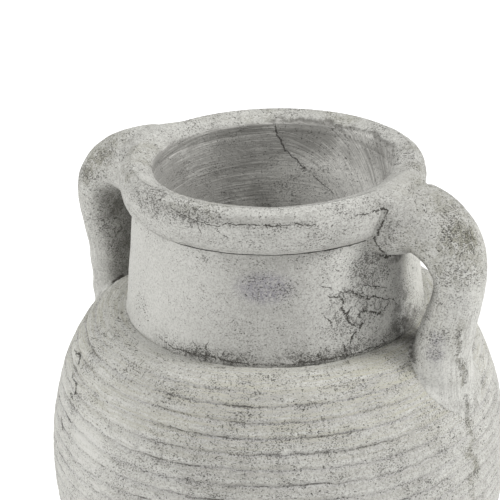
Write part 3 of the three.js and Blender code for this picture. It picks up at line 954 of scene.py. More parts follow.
RIB_STEPS = (0.0, 0.06, 0.14, 0.26, 0.4, 0.52, 0.64, 0.76, 0.87, 0.94)


def rib_runs(relief, top, bottom):
    """Places along the skin for rows, from bottom to top: the same shares of each rib, close at a groove."""
    first = math.floor((top - relief.first_groove) / relief.rib_pitch)
    last = math.ceil((bottom - relief.first_groove) / relief.rib_pitch)
    ribs = np.add.outer(np.arange(first, last + 1), RIB_STEPS).ravel()
    places = relief.first_groove + ribs * relief.rib_pitch
    inner = places[(places > top + 0.5 * MM) & (places < bottom - 0.5 * MM)]
    return np.concatenate([[top], inner, [bottom]])[::-1]


def ribbed_skin(relief, outline, runs, turn, seed):
    """Radius and height, place and marks of the thrown skin at rows of runs and columns of turns.

    The run is shifted by soft noise, so the grooves wander. The rib's height falls by
    depth * (1 - |sin(pi f ** 1.3)|) ** 1.7 at the share f of a pitch, with a depth that comes and goes in
    patches. The power 1.3 moves the ridge's crest down, so that its lower side is the steeper one.
    """
    runs, turn = np.broadcast_arrays(runs[:, None], turn[None, :])
    base = outline.at(runs)
    radius, level = base[..., 0], base[..., 1]
    place = round_axis(radius, turn, level)
    sway = lattice_noise(place * (1, 1, 2.2), 85 * MM, seed) * 1.5
    for cell, strength, more in ((24, 0.6, 1), (7, 0.7, 6), (4, 0.4, 9)):
        sway += lattice_noise(place, cell * MM, seed + more) * strength
    ends = smooth(0.0, 14 * MM, np.minimum(runs - runs.min(), runs.max() - runs))
    share = (runs - relief.first_groove) / relief.rib_pitch
    rib = np.rint(share)
    share = share - np.floor(share)
    groove = (1.0 - np.abs(np.sin(np.pi * share ** 1.3))) ** 1.7
    lengthwise = np.stack([place[..., 0], place[..., 1], rib * 0.9], axis=-1)
    degrees = in_degrees(turn)
    calm = smooth(-84, -98, degrees) * smooth(-132, -118, degrees)
    calm += smooth(-36, -4, degrees) * smooth(60, 40, degrees)
    depth = np.clip(0.64 + 0.32 * cloud(lengthwise, 45 * MM, seed + 2, 3), 0.30, 0.95) * (1.0 - 0.5 * calm)
    fade = smooth(relief.rib_fade_bottom, relief.rib_fade_top, level)
    fade = fade * (0.35 + 0.65 * smooth(10 * MM, 40 * MM, runs))
    fade = fade * (1.0 - 0.85 * patches(turn, level, radius)(-3, 336, 52, 36))
    thin = np.exp(-((share - 0.52) / 0.07) ** 2) * 0.15
    thin = thin * smooth(0.1, 0.6, lattice_noise(lengthwise, 60 * MM, seed + 3))
    unevenness, holes = common_relief(place, relief, seed + 4)
    rough = 0.9 + 0.65 * lattice_noise(place, 9 * MM, seed + 7)
    rough += 0.40 * lattice_noise(place, 4 * MM, seed + 8)
    fall = (groove * depth * rough + thin) * fade
    offset = -relief.skin_inset - relief.rib_depth * fall + unevenness - relief.pit * holes
    offset = np.minimum(offset, -0.28 * MM)
    skin = outline.at(runs + sway * MM * ends, offset)
    # The ridge mark paints a highlight on a band just below each rib's crest.
    ridge = smooth(0.06, 0.22, 1.0 - share) * smooth(0.60, 0.30, 1.0 - share) * depth * fade
    # The groove mark: dark dashes of soiling in the shader, and a cool painted shade in the groove.
    line = groove ** 1.3 * (0.76 + 0.24 * smooth(0.3, 0.8, depth)) + thin * 2.5
    marks = {"ridge": ridge, "groove": line * fade, "hollow": holes * 0.5,
             "along": turn * radius, "across": runs + 5.0, "streak": np.full(runs.shape, 0.55)}
    return skin, place, marks


def section_piece(node, skin, marks, inner, turn):
    """A body section: the shown skin's rows, then the rows of a plain inner profile turned round."""
    radius = np.vstack([skin[..., 0], np.repeat(inner[:, :1], len(turn), axis=1)])
    height = np.vstack([skin[..., 1], np.repeat(inner[:, 1:], len(turn), axis=1)])
    rest = np.zeros((len(inner), len(turn)))
    marks = {mark: np.vstack([values, rest]) for mark, values in marks.items()}
    marks["inside"] = np.vstack([np.zeros(skin.shape[:2]), rest + 1.0])
    marks["along"][len(skin):] = (turn * radius)[len(skin):]
    marks["across"][len(skin):] = height[len(skin):]
    mesh = grid_mesh(node + "_shell", round_axis(radius, turn, height), marks=marks)
    place_piece(node + "_shell", mesh, finishes()[0], [node])


def build_lower_body(pot, relief, outline, joints, turn):
    """Lower body: ribs that fade towards the slab, over a plain wall inside."""
    slab_run = float(outline.run_at(pot.slab_top))
    runs = rib_runs(relief, joints["run"] + pot.slip_bed / 2, slab_run - pot.slip_bed / 2)
    skin, place, marks = ribbed_skin(relief, outline, runs, turn, 11)
    marks["gritty"] = 0.20 * smooth(-0.2, 0.7, cloud(place, 90 * MM, 71, 2))
    marks["coat"] = np.full(place.shape[:2], 0.15)
    # Painted light: the front-left side, which faces the light, is made lighter.
    marks["tone_and_painted_light"] = np.broadcast_to(0.02 - 0.20 * smooth(-0.2, -0.5, np.sin(turn + 0.3)), place.shape[:2])
    wall = outline.at(np.linspace(joints["run"], slab_run, 14), -pot.body_wall)
    wall = wall[(wall[:, 1] < joints["belly"][0] - pot.lap_depth - 2 * MM) & (wall[:, 1] > pot.slab_top)]
    inside = np.vstack([ledge(*joints["belly"], pot)[1:], wall, tongue(*joints["slab"], pot)[:-1]])
    section_piece("lower_body", skin, marks, inside, turn)


def build_upper_body(pot, relief, outline, joints, turn):
    """Upper body: the ribbed shoulder, warm on top, cracked at the left, with stains and painted shade by the
    right handle.
    """
    runs = rib_runs(relief, 0.6 * MM, joints["run"] - pot.slip_bed / 2)
    skin, place, marks = ribbed_skin(relief, outline, runs, turn, 31)
    around = np.broadcast_to(turn, skin.shape[:2])
    level = skin[..., 1]
    degrees = in_degrees(around)
    patch = patches(around, level, skin[..., 0])
    drip = patch(-2.2, 284, 14, 62) * smooth(-0.5, 0.3, cloud(place, 11 * MM, 74, 3))
    # Behind the right handle's foot: dark from soiling and from painted shade, where the handle shades the
    # shoulder.
    behind = patch(-1, 366, 24, 30)
    marks["warm"] = smooth(300 * MM, 345 * MM, level) * (0.60 + 0.35 * cloud(place, 60 * MM, 72, 2)) + 0.20
    marks["coat"] = 0.15 + 0.60 * np.maximum(patch(-99, 337, 34, 26), patch(-112, 300, 30, 34))
    marks["gritty"] = 0.20 * smooth(-0.2, 0.7, cloud(place, 80 * MM, 73, 2))
    marks["gritty"] += 0.40 * patch(-124, 312, 17, 56) + 1.3 * drip + 0.6 * behind
    marks["moss"] = 0.8 * drip
    marks["smudge_and_shade"] = 0.85 * behind
    # Painted light and shade: lighter on the lit left and at the neck's foot, whose corner lies in shade,
    # darker in front and on the shoulder's upper band.
    marks["tone_and_painted_light"] = 0.06 - 0.32 * smooth(-94, -112, degrees) + 0.16 * smooth(335 * MM, 350 * MM, level)
    marks["tone_and_painted_light"] += 0.26 * smooth(-100, -70, degrees) * smooth(0, -30, degrees)
    marks["tone_and_painted_light"] -= 0.34 * smooth(357 * MM, 365 * MM, level)
    marks.update(crack_marks(place, around, BODY_CRACKS))
    neck = (pot.neck_foot_height, pot.neck_foot_radius, pot.bore_radius)
    wall = outline.at(np.linspace(0.0, joints["run"], 14), -pot.body_wall)
    low, high = joints["belly"][0] + 2 * MM, pot.neck_foot_height - pot.lap_depth - 2 * MM
    wall = wall[(wall[:, 1] > low) & (wall[:, 1] < high) & (wall[:, 0] > pot.bore_radius + pot.joint_gap)]
    inside = np.vstack([ledge(*neck, pot)[1:], wall, tongue(*joints["belly"], pot)[:-1]])
    section_piece("upper_body", skin, marks, inside, turn)


def build_body():
    """Lower and upper body: the ribbed skin outside, the plain wall inside, and lapped joints at the ends."""
    pot, _, relief, _, _ = settings()
    outline = BodyOutline(pot)
    joints = body_joints(pot, relief, outline)
    turn = np.linspace(0.0, 2 * np.pi, BODY_COLUMNS, endpoint=False)
    build_lower_body(pot, relief, outline, joints, turn)
    build_upper_body(pot, relief, outline, joints, turn)


def wipe_marks(turn, height, radius):
    """Marks inside the bore: a tone from damp wiping and from painted light and shade, and the wipe's lines.

    The lines are level on one side of the lap seam. On the other they run along circles round a point low
    beside the seam.
    """
    degrees = np.degrees(turn)
    seam = np.interp(height / MM, (425.5, 436.5, 446.5, 459.5, 478), (91.8, 101.4, 109.2, 117.2, 122))
    curved = (degrees < seam) & (degrees > -20)
    side = (degrees - 125) * math.radians(1) * radius
    rise = height - 392 * MM
    away = np.hypot(side, rise)
    swing = np.arctan2(rise, side) * 80 * MM
    level = height + np.sin(turn * 2.0) * 3 * MM
    patch = patches(turn, height, radius)
    # Painted light and shade: darker at the back left, lighter at the back right, and much lighter low at the
    # back, where the bore lies deep in shade.
    wiping_and_shade = 0.30 + 0.20 * patch(160, 460, 80, 60) - 0.25 * patch(70, 470, 50, 40)
    return {
        "wiping_and_shade": wiping_and_shade - 0.90 * patch(100, 425, 80, 42),
        "along": np.where(curved, swing, turn * radius),
        "across": np.where(curved, away + 2.0, level),
    }


def closing(points, degrees, seed):
    """How far neck and rim swell towards each other at the crease, which closes it in places."""
    return np.clip(0.3 + smooth(-92, -104, degrees) + 0.9 * cloud(points, 10 * MM, seed, 3), -0.3, 1.15)


def build_neck():
    """Neck: a tapering ring under a smooth coat, crackled beside the right handle, with a wiped bore."""
    pot, _, relief, _, _ = settings()
    top = pot.neck_top_height
    foot = pot.neck_foot_height
    low = (pot.neck_foot_radius - relief.skin_inset, foot - 0.65 * MM)
    high = (pot.neck_top_radius - relief.skin_inset, top - 0.35 * MM)
    joint = ledge(top, pot.neck_top_radius - BED_INSET, pot.bore_radius, pot)
    joint[3] = (joint[3][0], joint[3][1] + BORE_SWELL)
    seat = tongue(foot, pot.neck_foot_radius - BED_INSET, pot.bore_radius, pot)
    rows, shown = lay(
        ([low, high], NECK_STEP, 1),
        ([high, *joint], 0, 0),
        ([joint[3], seat[0]], BORE_STEP, 1),
        ([*seat, low], 0, 0),
    )
    points, normal, turn = turned(rows, NECK_COLUMNS)
    radius = np.repeat(rows[:, :1], NECK_COLUMNS, axis=1)
    degrees = in_degrees(turn)
    level = points[..., 2]
    patch = patches(turn, level, radius)
    inside = np.where(radius < pot.bore_radius + 0.5 * MM, 1.0, 0.0)
    outside = 1.0 - inside

    flaky = np.maximum(patch(-22, 402, 40, 34), patch(-16, 430, 34, 26))
    flake = smooth(-0.15, 0.15, cloud(points, 17 * MM, 55, 3)) * flaky * 0.45 * MM
    ragged = cloud(points, 9 * MM, 57, 3) * 2.4 * MM
    skirt = smooth(foot + 5 * MM, foot, level + ragged) * outside
    bulge = skirt * np.clip(0.5 + 0.9 * cloud(points, 10 * MM, 58, 3), 0.0, 1.4) * 1.3 * MM
    depth = np.minimum(common_relief(points, relief, 51)[0] - flake, 0.45 * MM) + bulge
    points = points + normal * (depth * shown[:, None])[..., None]
    closed = closing(points, degrees, 62) * smooth(top - 2 * MM, top - 0.4 * MM, level) * outside
    points[..., 2] += CREASE_SWELL * closed

    bottom = smooth(foot + 16 * MM, foot + 4 * MM, level + ragged) * smooth(-112, -104, degrees)
    gathers = ((-86, 18), (-71, 16), (-44, 16), (-31, 14))
    gathered = np.maximum.reduce([patch(middle, foot / MM + 3, wide, 14) for middle, wide in gathers])
    chain = bottom * (0.55 + 0.45 * gathered)
    under_rim = smooth(top - 16 * MM, top - 2 * MM, level + ragged) * outside
    bruise = patch(-60, 428, 28, 16) * outside
    lit = smooth(1, 4, degrees) * smooth(40, 20, degrees) * outside
    coat = np.clip(1.0 - 0.50 * flaky - chain, 0.0, 1.0) * (0.60 + 0.40 * smooth(-55, -90, degrees))
    gritty = (0.50 * flaky + 1.3 * chain + 0.20 * smooth(-75, -35, degrees) + 0.4 * under_rim + 0.9 * bruise
              + 0.45 * patch(-15, 430, 24, 20) + patch(3, 380, 30, 28) + 0.9 * patch(-118, 387, 16, 18))
    # Painted shade beside the right handle: the shadow under its root, a shadow band with a sharp edge, and a
    # dark patch behind its foot that is partly soiling.
    smudge_and_shade = np.maximum.reduce([
        0.85 * patch(1, 378, 27, 30) * smooth(-0.5, 0.3, cloud(points, 6 * MM, 63, 3)),
        0.80 * patch(-1, 431, 13, 9),
        0.30 * smooth(-11, 0, degrees) * smooth(2.0, 0.6, degrees) * smooth(384 * MM, 400 * MM, level),
    ])
    marks = {
        "inside": inside,
        "coat": coat * outside,
        # Painted light and shade: darker in front than on the lit left, and lighter on the right, where the
        # right handle shades the neck.
        "tone_and_painted_light": 0.13 + 0.37 * smooth(-100, -62, degrees) - 0.62 * smooth(-50, -26, degrees),
        "streak": 0.05 * outside + 0.5 * lit,
        "warm": 0.5 * lit,
        "gritty": np.clip(gritty, 0.0, 1.5) * outside,
        "crackle": np.clip(0.9 * flaky + chain, 0.0, 1.0) * outside,
        "bruise": bruise,
        "smudge_and_shade": smudge_and_shade * outside,
        **section_cracks(points, turn, inside, NECK_CRACKS),
        **wipe_marks(turn, level, radius),
    }
    mesh = grid_mesh("neck_shell", points, marks=marks)
    place_piece("neck_shell", mesh, finishes()[0], ["neck"])


def build_rim():
    """Rim: the rolled collar with its dished top, pitted in front, its lip broken ragged at the back."""
    pot, _, relief, _, _ = settings()
    seat = tongue(pot.neck_top_height, pot.neck_top_radius - BED_INSET, pot.bore_radius, pot)
    seat[0] = (seat[0][0], seat[0][1] - BORE_SWELL)
    inset = relief.skin_inset

    def sunk(curve):
        """The curve moved in by the inset."""
        slope = unit(np.gradient(curve, axis=0))
        return curve + np.stack([-slope[:, 1], slope[:, 0]], axis=-1) * inset

    roll, dish = (sunk(curve) for curve in rim_outline(pot))
    start = (pot.neck_top_radius - inset, pot.neck_top_height + 0.35 * MM)
    rows, shown = lay(
        ([start, *roll[3:]], RIM_STEP, 1),
        (dish, RIM_STEP, 1),
        ([dish[-1], (pot.bore_radius, dish[-1, 1] - 2 * MM), seat[0]], RIM_BORE_STEP, 1),
        ([*seat, start], 0, 0),
    )
    points, normal, turn = turned(rows, RIM_COLUMNS)
    radius = np.repeat(rows[:, :1], RIM_COLUMNS, axis=1)
    level = points[..., 2]
    degrees = in_degrees(turn)
    patch = patches(turn, level, radius)

    ragged = cloud(points, 8 * MM, 83, 3)
    back = smooth(35, 45, degrees) * smooth(130, 119, degrees)
    edge = pot.lip_height + 0.6 * MM + ragged * (0.4 + 1.6 * back) * MM + back * 2.2 * MM
    inside = smooth(0.4 * MM, -0.4 * MM, level - edge) * smooth(101 * MM, 99 * MM, radius)
    outside = 1.0 - inside
    chipped = inside * back * smooth(pot.lip_height - 6 * MM, pot.lip_height - 1 * MM, level)
    front = np.exp(-((level - 479 * MM + ragged * 1.6 * MM) / (1.5 * MM)) ** 2)
    front = front * smooth(-100, -88, degrees) * smooth(-38, -46, degrees)
    front = front * smooth(108 * MM, 112 * MM, radius)
    unevenness, holes = common_relief(points, relief, 81)
    pocks = front * smooth(0.05, 0.6, lattice_noise(points, 3.4 * MM, 85))
    pocks = np.maximum(pocks, holes * smooth(0.0, 0.4, cloud(points, 30 * MM, 86, 2))) * 0.45 * outside
    wave = lattice_noise(points, 70 * MM, 84) * 0.5 * MM
    depth = np.minimum(unevenness + wave, 0.3 * MM) - relief.pit * pocks - 1.3 * MM * chipped
    points = points + normal * (depth * shown[:, None])[..., None]
    closed = closing(points, degrees, 87) * smooth(456 * MM, 453.5 * MM, level) * (radius > 105 * MM)
    points[..., 2] -= CREASE_SWELL * closed

    stained = smooth(477 * MM, 486 * MM, level) * outside * smooth(-0.1, 0.5, cloud(points, 46 * MM, 88, 3))
    clustered = np.maximum.reduce([0.75 * patch(-105, 482, 34, 16), 0.9 * patch(-84, 482, 34, 9),
                                   0.8 * patch(28, 484, 16, 14)])
    lip = np.exp(-((level - edge) / (1.2 * MM)) ** 2) * smooth(101 * MM, 98 * MM, radius)
    coat = 0.35 * smooth(-0.3, 0.4, cloud(points, 50 * MM, 89, 2)) + 0.35 * smooth(478 * MM, 472 * MM, level)
    shadow = np.exp(-((level - 482 * MM) / (4 * MM)) ** 2)
    shadow = shadow * smooth(-115, -95, degrees) * smooth(-35, -55, degrees)
    gritty = (0.20 * smooth(0.0, 0.6, cloud(points, 40 * MM, 90, 2)) + 0.55 * clustered + 0.2 * stained
              + 0.45 * front)
    # Painted shadow along the lip's inner edge, deeper at the broken back.
    smudge_and_shade = lip * (0.35 + 0.4 * back) * smooth(-0.4, 0.3, ragged + 0.4 * back)
    marks = {
        "inside": inside,
        "hollow": pocks,
        "coat": coat * outside,
        # Painted shadow in a band round the front, and darker near the right handle's root.
        "tone_and_painted_light": 0.10 + 0.40 * shadow + 0.40 * patch(-4, 486, 50, 22),
        "moss": np.clip(stained * 0.5 + chipped * 0.8, 0.0, 1.0),
        "streak": 0.35 * outside,
        "gritty": np.clip(gritty, 0.0, 1.4) * outside,
        "smudge_and_shade": np.clip(smudge_and_shade, 0.0, 1.0) * 0.7,
        "crackle": np.clip(front * 0.5 + 0.9 * clustered, 0.0, 1.0) * outside,
        **section_cracks(points, turn, inside, RIM_CRACKS),
        **wipe_marks(turn, level, radius),
    }
    mesh = grid_mesh("rim_shell", points, marks=marks)
    place_piece("rim_shell", mesh, finishes()[0], ["rim"])


# Handles

class PotSkin:
    """Signed distance to the pot's outside on a grid of radius and height, below nought inside the wall."""

    def __init__(self, pot, inset):
        body = BodyOutline(pot)
        roll, dish = rim_outline(pot)
        runs = np.linspace(float(body.run_at(pot.belly_height - 60 * MM)), 0.0, 600)
        line = np.vstack([body.at(runs), roll, dish[1:], [(pot.bore_radius, pot.neck_foot_height)]])
        run = run_along(line)
        line = points_at(line, run, np.arange(0.0, run[-1], 0.4 * MM))
        slope = np.gradient(line, axis=0)
        columns, rows = 170, 340
        self.step = 1 * MM
        self.corner = np.array([60 * MM, 180 * MM])
        r = self.corner[0] + np.arange(columns) * self.step
        z = self.corner[1] + np.arange(rows) * self.step
        self.values = np.zeros((len(r), len(z)))
        for column, reach in enumerate(r):
            across, rise = np.broadcast_arrays(reach - line[None, :, 0], z[:, None] - line[None, :, 1])
            gap = np.stack([across, rise], axis=-1)
            distance = np.linalg.norm(gap, axis=-1)
            nearest = distance.argmin(axis=1)
            hand = slope[nearest, 0] * (z - line[nearest, 1]) - slope[nearest, 1] * (reach - line[nearest, 0])
            self.values[column] = np.where(hand > 0, -1.0, 1.0) * distance[np.arange(len(z)), nearest] + inset
        self.slopes = np.stack(np.gradient(self.values, self.step), axis=-1)

    def look_up(self, table, points):
        """The table's values at points, blended between its four nearest nodes."""
        flat = np.stack([np.hypot(points[..., 0], points[..., 1]), points[..., 2]], axis=-1)
        place = np.clip((flat - self.corner) / self.step, 0, np.array(self.values.shape) - 1.001)
        base = place.astype(int)
        part = place - base
        i, j = base[..., 0], base[..., 1]
        u, v = part[..., 0], part[..., 1]
        if table.ndim == 3:
            u, v = u[..., None], v[..., None]
        return (table[i, j] * (1 - u) * (1 - v) + table[i + 1, j] * u * (1 - v)
                + table[i, j + 1] * (1 - u) * v + table[i + 1, j + 1] * u * v)

    def at(self, points):
        """Signed distance at points."""
        return self.look_up(self.values, points)

    def push(self, points, distance):
        """Points moved away from the pot by a distance each, along the slope."""
        slope = self.look_up(self.slopes, points)
        turn = np.arctan2(points[..., 1], points[..., 0])
        step = round_axis(slope[..., 0], turn, slope[..., 1])
        return points + step * distance[..., None]

    def lift(self, points, depth):
        """Points deeper in the wall than depth moved out along the slope until they lie at it."""
        for _ in range(3):
            points = self.push(points, np.maximum(-depth - self.at(points), 0.0))
        return points


# Stations along the bar: the share of the way from root to foot, and the bow, half thickness and half width
# there as shares of the handle's sizes.
HANDLE_STATIONS = (
    (0, -0.7, 1.35, 1.4),
    (0, 0.07, 1.34, 1.36),
    (0.04, 0.69, 1.26, 1.25),
    (0.135, 1, 1.14, 1.12),
    (0.275, 0.98, 1, 1),
    (0.43, 0.67, 0.9, 0.96),
    (0.58, 0.26, 0.88, 0.94),
    (0.72, -0.1, 0.9, 0.98),
    (0.85, -0.31, 0.9, 1.04),
    (0.97, -0.42, 0.55, 0.92),
    (1.08, -0.56, 0.3, 0.6),
)


def centripetal(points, share):
    """A centripetal Catmull-Rom curve through the points at shares of its run, and its slope."""
    padded = np.vstack([2 * points[0] - points[1], points, 2 * points[-1] - points[-2]])
    place = np.clip(share, 0.0, 1.0) * (len(points) - 1)
    start = np.minimum(place.astype(int), len(points) - 2)
    t = (place - start)[:, None]
    p0, p1, p2, p3 = (padded[start + k] for k in range(4))
    d0, d1, d2 = (np.sqrt(np.linalg.norm(b - a, axis=1))[:, None] for a, b in ((p0, p1), (p1, p2), (p2, p3)))
    lead = ((p1 - p0) / d0 - (p2 - p0) / (d0 + d1) + (p2 - p1) / d1) * d1
    trail = ((p2 - p1) / d1 - (p3 - p1) / (d1 + d2) + (p3 - p2) / d2) * d1
    square = -3 * p1 + 3 * p2 - 2 * lead - trail
    cube = 2 * p1 - 2 * p2 + lead + trail
    return p1 + lead * t + square * t ** 2 + cube * t ** 3, lead + 2 * square * t + 3 * cube * t ** 2


# What differs between the handles. Flared, swollen, front and back shape the bar, and lean turns the swelling
# round it.
# The darkening strength after back paints shade on the bar's inner face, stain darkens it, and cracked says
# whether its root is. Each blotch is a middle in millimetres, a reach and a strength.
HANDLES = {
    "right": {
        "flared": 1.0, "swollen": 0.9, "lean": 0.0, "front": 0.0, "back": 0.04,
        "smudge_and_shade": 0.40, "stain": 0.34, "cracked": 1.0,
        "blotches": (((168, -12, 460), 24, 1.0), ((172, -15, 440), 24, 0.6), ((150, 0, 483), 34, 0.6),
                     ((128, 12, 488), 20, 0.5)),
    },
    "left": {
        "flared": 0.0, "swollen": 1.9, "lean": 0.9, "front": 0.62, "back": 0.0,
        "smudge_and_shade": 0.65, "stain": 0.0, "cracked": 0.0,
        "blotches": (((-142, -30, 478), 26, 0.8), ((-157, -33, 457), 20, 0.7), ((-128, -20, 486), 18, 0.6)),
    },
}


def handle_ovals(pot, handle, form, share, angle):
    """Middles of the bar's ovals, the unit rays from each to its oval, and the rays' lengths.

    The middles lie on a curve through the stations. The oval is squarer under the root, where its cosine and
    sine are raised to a power below 1, thinner inside the bend, and wider towards a flared handle's foot.
    """
    foot = BodyOutline(pot).at(handle.foot_length)
    down, bow, thick, wide = np.array(HANDLE_STATIONS).T
    reach = pot.rim_radius + (foot[0] - pot.rim_radius) * down + bow * handle.bow
    root = pot.rim_height - handle.root_drop
    height = root + (foot[1] - root) * down
    centre, slope = centripetal(np.stack([reach, height], axis=-1), share)
    slope = unit(slope)
    half, side = (centripetal(np.stack([reach, size, height], axis=-1), share)[0][:, 1]
                  for size in (thick * handle.half_thickness, wide * handle.half_width))
    upward = np.cos(angle)[None, :]
    square = np.where(upward < 0, 1.0 - 0.28 * smooth(0.22, 0.10, share)[:, None], 1.0)
    up, out = (np.sign(wave) * np.abs(wave) ** square for wave in (upward, np.sin(angle)[None, :]))
    tuck = 0.78 + 0.22 * smooth(0.0, 0.13, share)
    thin = 1.0 - 0.24 * smooth(0.09, 0.20, share) * smooth(0.52, 0.36, share)
    flare = form["flared"] * smooth(0.42, 0.66, share) * (1.0 - 0.70 * smooth(0.66, 0.9, share))
    early = smooth(0.26, 0.16, share)
    late = 1.0 - 0.30 * form["flared"] * smooth(0.76, 1.0, share)
    front = (1.0 + form["front"] * early + 0.26 * flare) * late
    back = 1.0 + form["back"] * early
    up = half[:, None] * up * np.where(up > 0, tuck[:, None], (thin + 0.22 * flare)[:, None])
    out = side[:, None] * out * np.where(out < 0, front[:, None], back[:, None])
    middle = np.stack([centre[:, 0], 0 * share, centre[:, 1]], axis=-1)[:, None, :]
    ray = np.stack([-slope[:, 1:] * up, out, slope[:, :1] * up], axis=-1)
    reach = np.linalg.norm(ray, axis=-1)
    return middle, ray / reach[..., None], reach


def melted(skin, middle, ray, reach, fillet):
    """The ovals' points moved out along their rays until the bar melts into the pot.

    A point stops where the smooth minimum of the distances to its oval and to the pot is nought, which fills
    the corner with a fillet. It moves by 0.95 of the fillet's size at most.
    """
    steps = np.linspace(0.0, 0.95, 26)
    growth = np.full(reach.shape, steps[-1])
    found = np.zeros(reach.shape, dtype=bool)
    before = None
    for step in steps:
        extra = step * fillet
        away = skin.at(middle + ray * (reach + extra)[..., None])
        blend = np.maximum(fillet - np.abs(extra - away), 0.0) / fillet
        field = np.minimum(extra, away) - blend ** 2 * fillet / 4
        here = step
        if before is not None:
            here = step - (steps[1] - steps[0]) * np.clip(field / np.maximum(field - before, 1e-9), 0.0, 1.0)
        fresh = (field >= 0) & ~found
        growth = np.where(fresh, here, growth)
        found |= fresh
        before = field
    return middle + ray * (reach + growth * fillet)[..., None]


def handle_grid(pot, handle, relief, skin, turn, seed, form):
    """Points of a handle, made of uneven ovals melted into the pot, and the zones that its marks need.

    Points near the rim's crest are bent down under the ceiling, the root's end is sunk into the rim, and deep
    points are lifted to just under the pot's skin.
    """
    share = np.linspace(0.0, 1.0, HANDLE_ROWS)
    angle = np.linspace(0.0, 2 * np.pi, HANDLE_COLUMNS, endpoint=False)
    row = share[:, None]
    spin = np.array(Matrix.Rotation(turn, 3, "Z"))
    middle, ray, reach = handle_ovals(pot, handle, form, share, angle)
    middle, ray = middle @ spin.T, ray @ spin.T
    rough = middle + ray * reach[..., None]

    lumps = cloud(rough, 34 * MM, seed, 3) * 0.75 * MM + lattice_noise(rough, 3.2 * MM, seed + 3) * 0.14 * MM
    line = np.radians(np.interp(row, (0.43, 0.60, 0.714, 0.87, 0.95), (309, 331, 344, 357, 362)))
    seam = np.exp(-((np.cos(angle - line) - 1.0) / 0.004) ** 2 * 0.5) * smooth(0.36, 0.48, row)
    ridge = -seam * 0.4 * smooth(-0.3, 0.5, lattice_noise(rough, 8 * MM, seed + 6)) * MM
    bend = smooth(0.14, 0.26, row) * smooth(0.46, 0.32, row)
    lower = (1.0 - form["flared"]) * smooth(0.54, 0.64, row) * smooth(0.84, 0.74, row)
    swell = form["swollen"] * np.maximum(bend, lower) * smooth(-0.2, 0.8, np.cos(angle - form["lean"]))
    uneven = (np.minimum(lumps, 0.6 * MM) + ridge + swell * MM) * smooth(0.03, 0.09, row)
    reach = reach - relief.skin_inset + uneven

    root = 1.0 - smooth(0.30, 0.42, row)
    above = smooth(0.45, 0.90, np.cos(angle))[None, :]
    soft = 0.8 * smooth(0.74, 0.88, row)
    soft = soft + 1.8 * form["flared"] * smooth(0.55, 0.80, row) * smooth(0.1, 0.8, np.cos(angle - 0.9))
    fillet = handle.side_fillet + (handle.top_fillet - handle.side_fillet) * above * root
    fillet = fillet + (1.0 - root) * (handle.foot_fillet * (1.0 + soft) - handle.side_fillet)
    points = melted(skin, middle, ray, reach, fillet)

    bending = 2.5 * MM
    over = np.maximum(points[..., 2] - (HIGH[2] - 0.5 * MM - bending), 0.0)
    points[..., 2] -= over - bending * (1.0 - np.exp(-over / bending))
    buried = (9.0 * smooth(0.0, 0.12, row) - 1.2) * MM
    sink = -np.maximum(skin.at(points) - buried, 0.0)
    points = skin.push(points, np.where(row < 0.12, sink, 0.0))
    every = np.ones((HANDLE_ROWS, HANDLE_COLUMNS))
    zones = {
        "root": root * every,
        "inner": smooth(-0.25, -0.8, np.cos(angle)) * every,
        "share": row * every,
        "seam": np.exp((np.cos(angle - line) - 1.0) / 0.012) * smooth(0.46, 0.62, row),
        "facing": smooth(-0.2, 0.6, np.cos(angle - 0.25)) * smooth(0.40, 0.55, row),
        "away": skin.at(points),
        "across": angle * 24 * MM * every + 2.0,
    }
    return skin.lift(points, 3 * MM), zones


def ball(points, centre, reach, strength):
    """A soft round patch in space, in millimetres: its strength in the middle and 0 outside its reach."""
    away = np.linalg.norm(points / MM - np.array(centre), axis=-1)
    return strength * (1.0 - smooth(0.25, 1.0, away / reach))


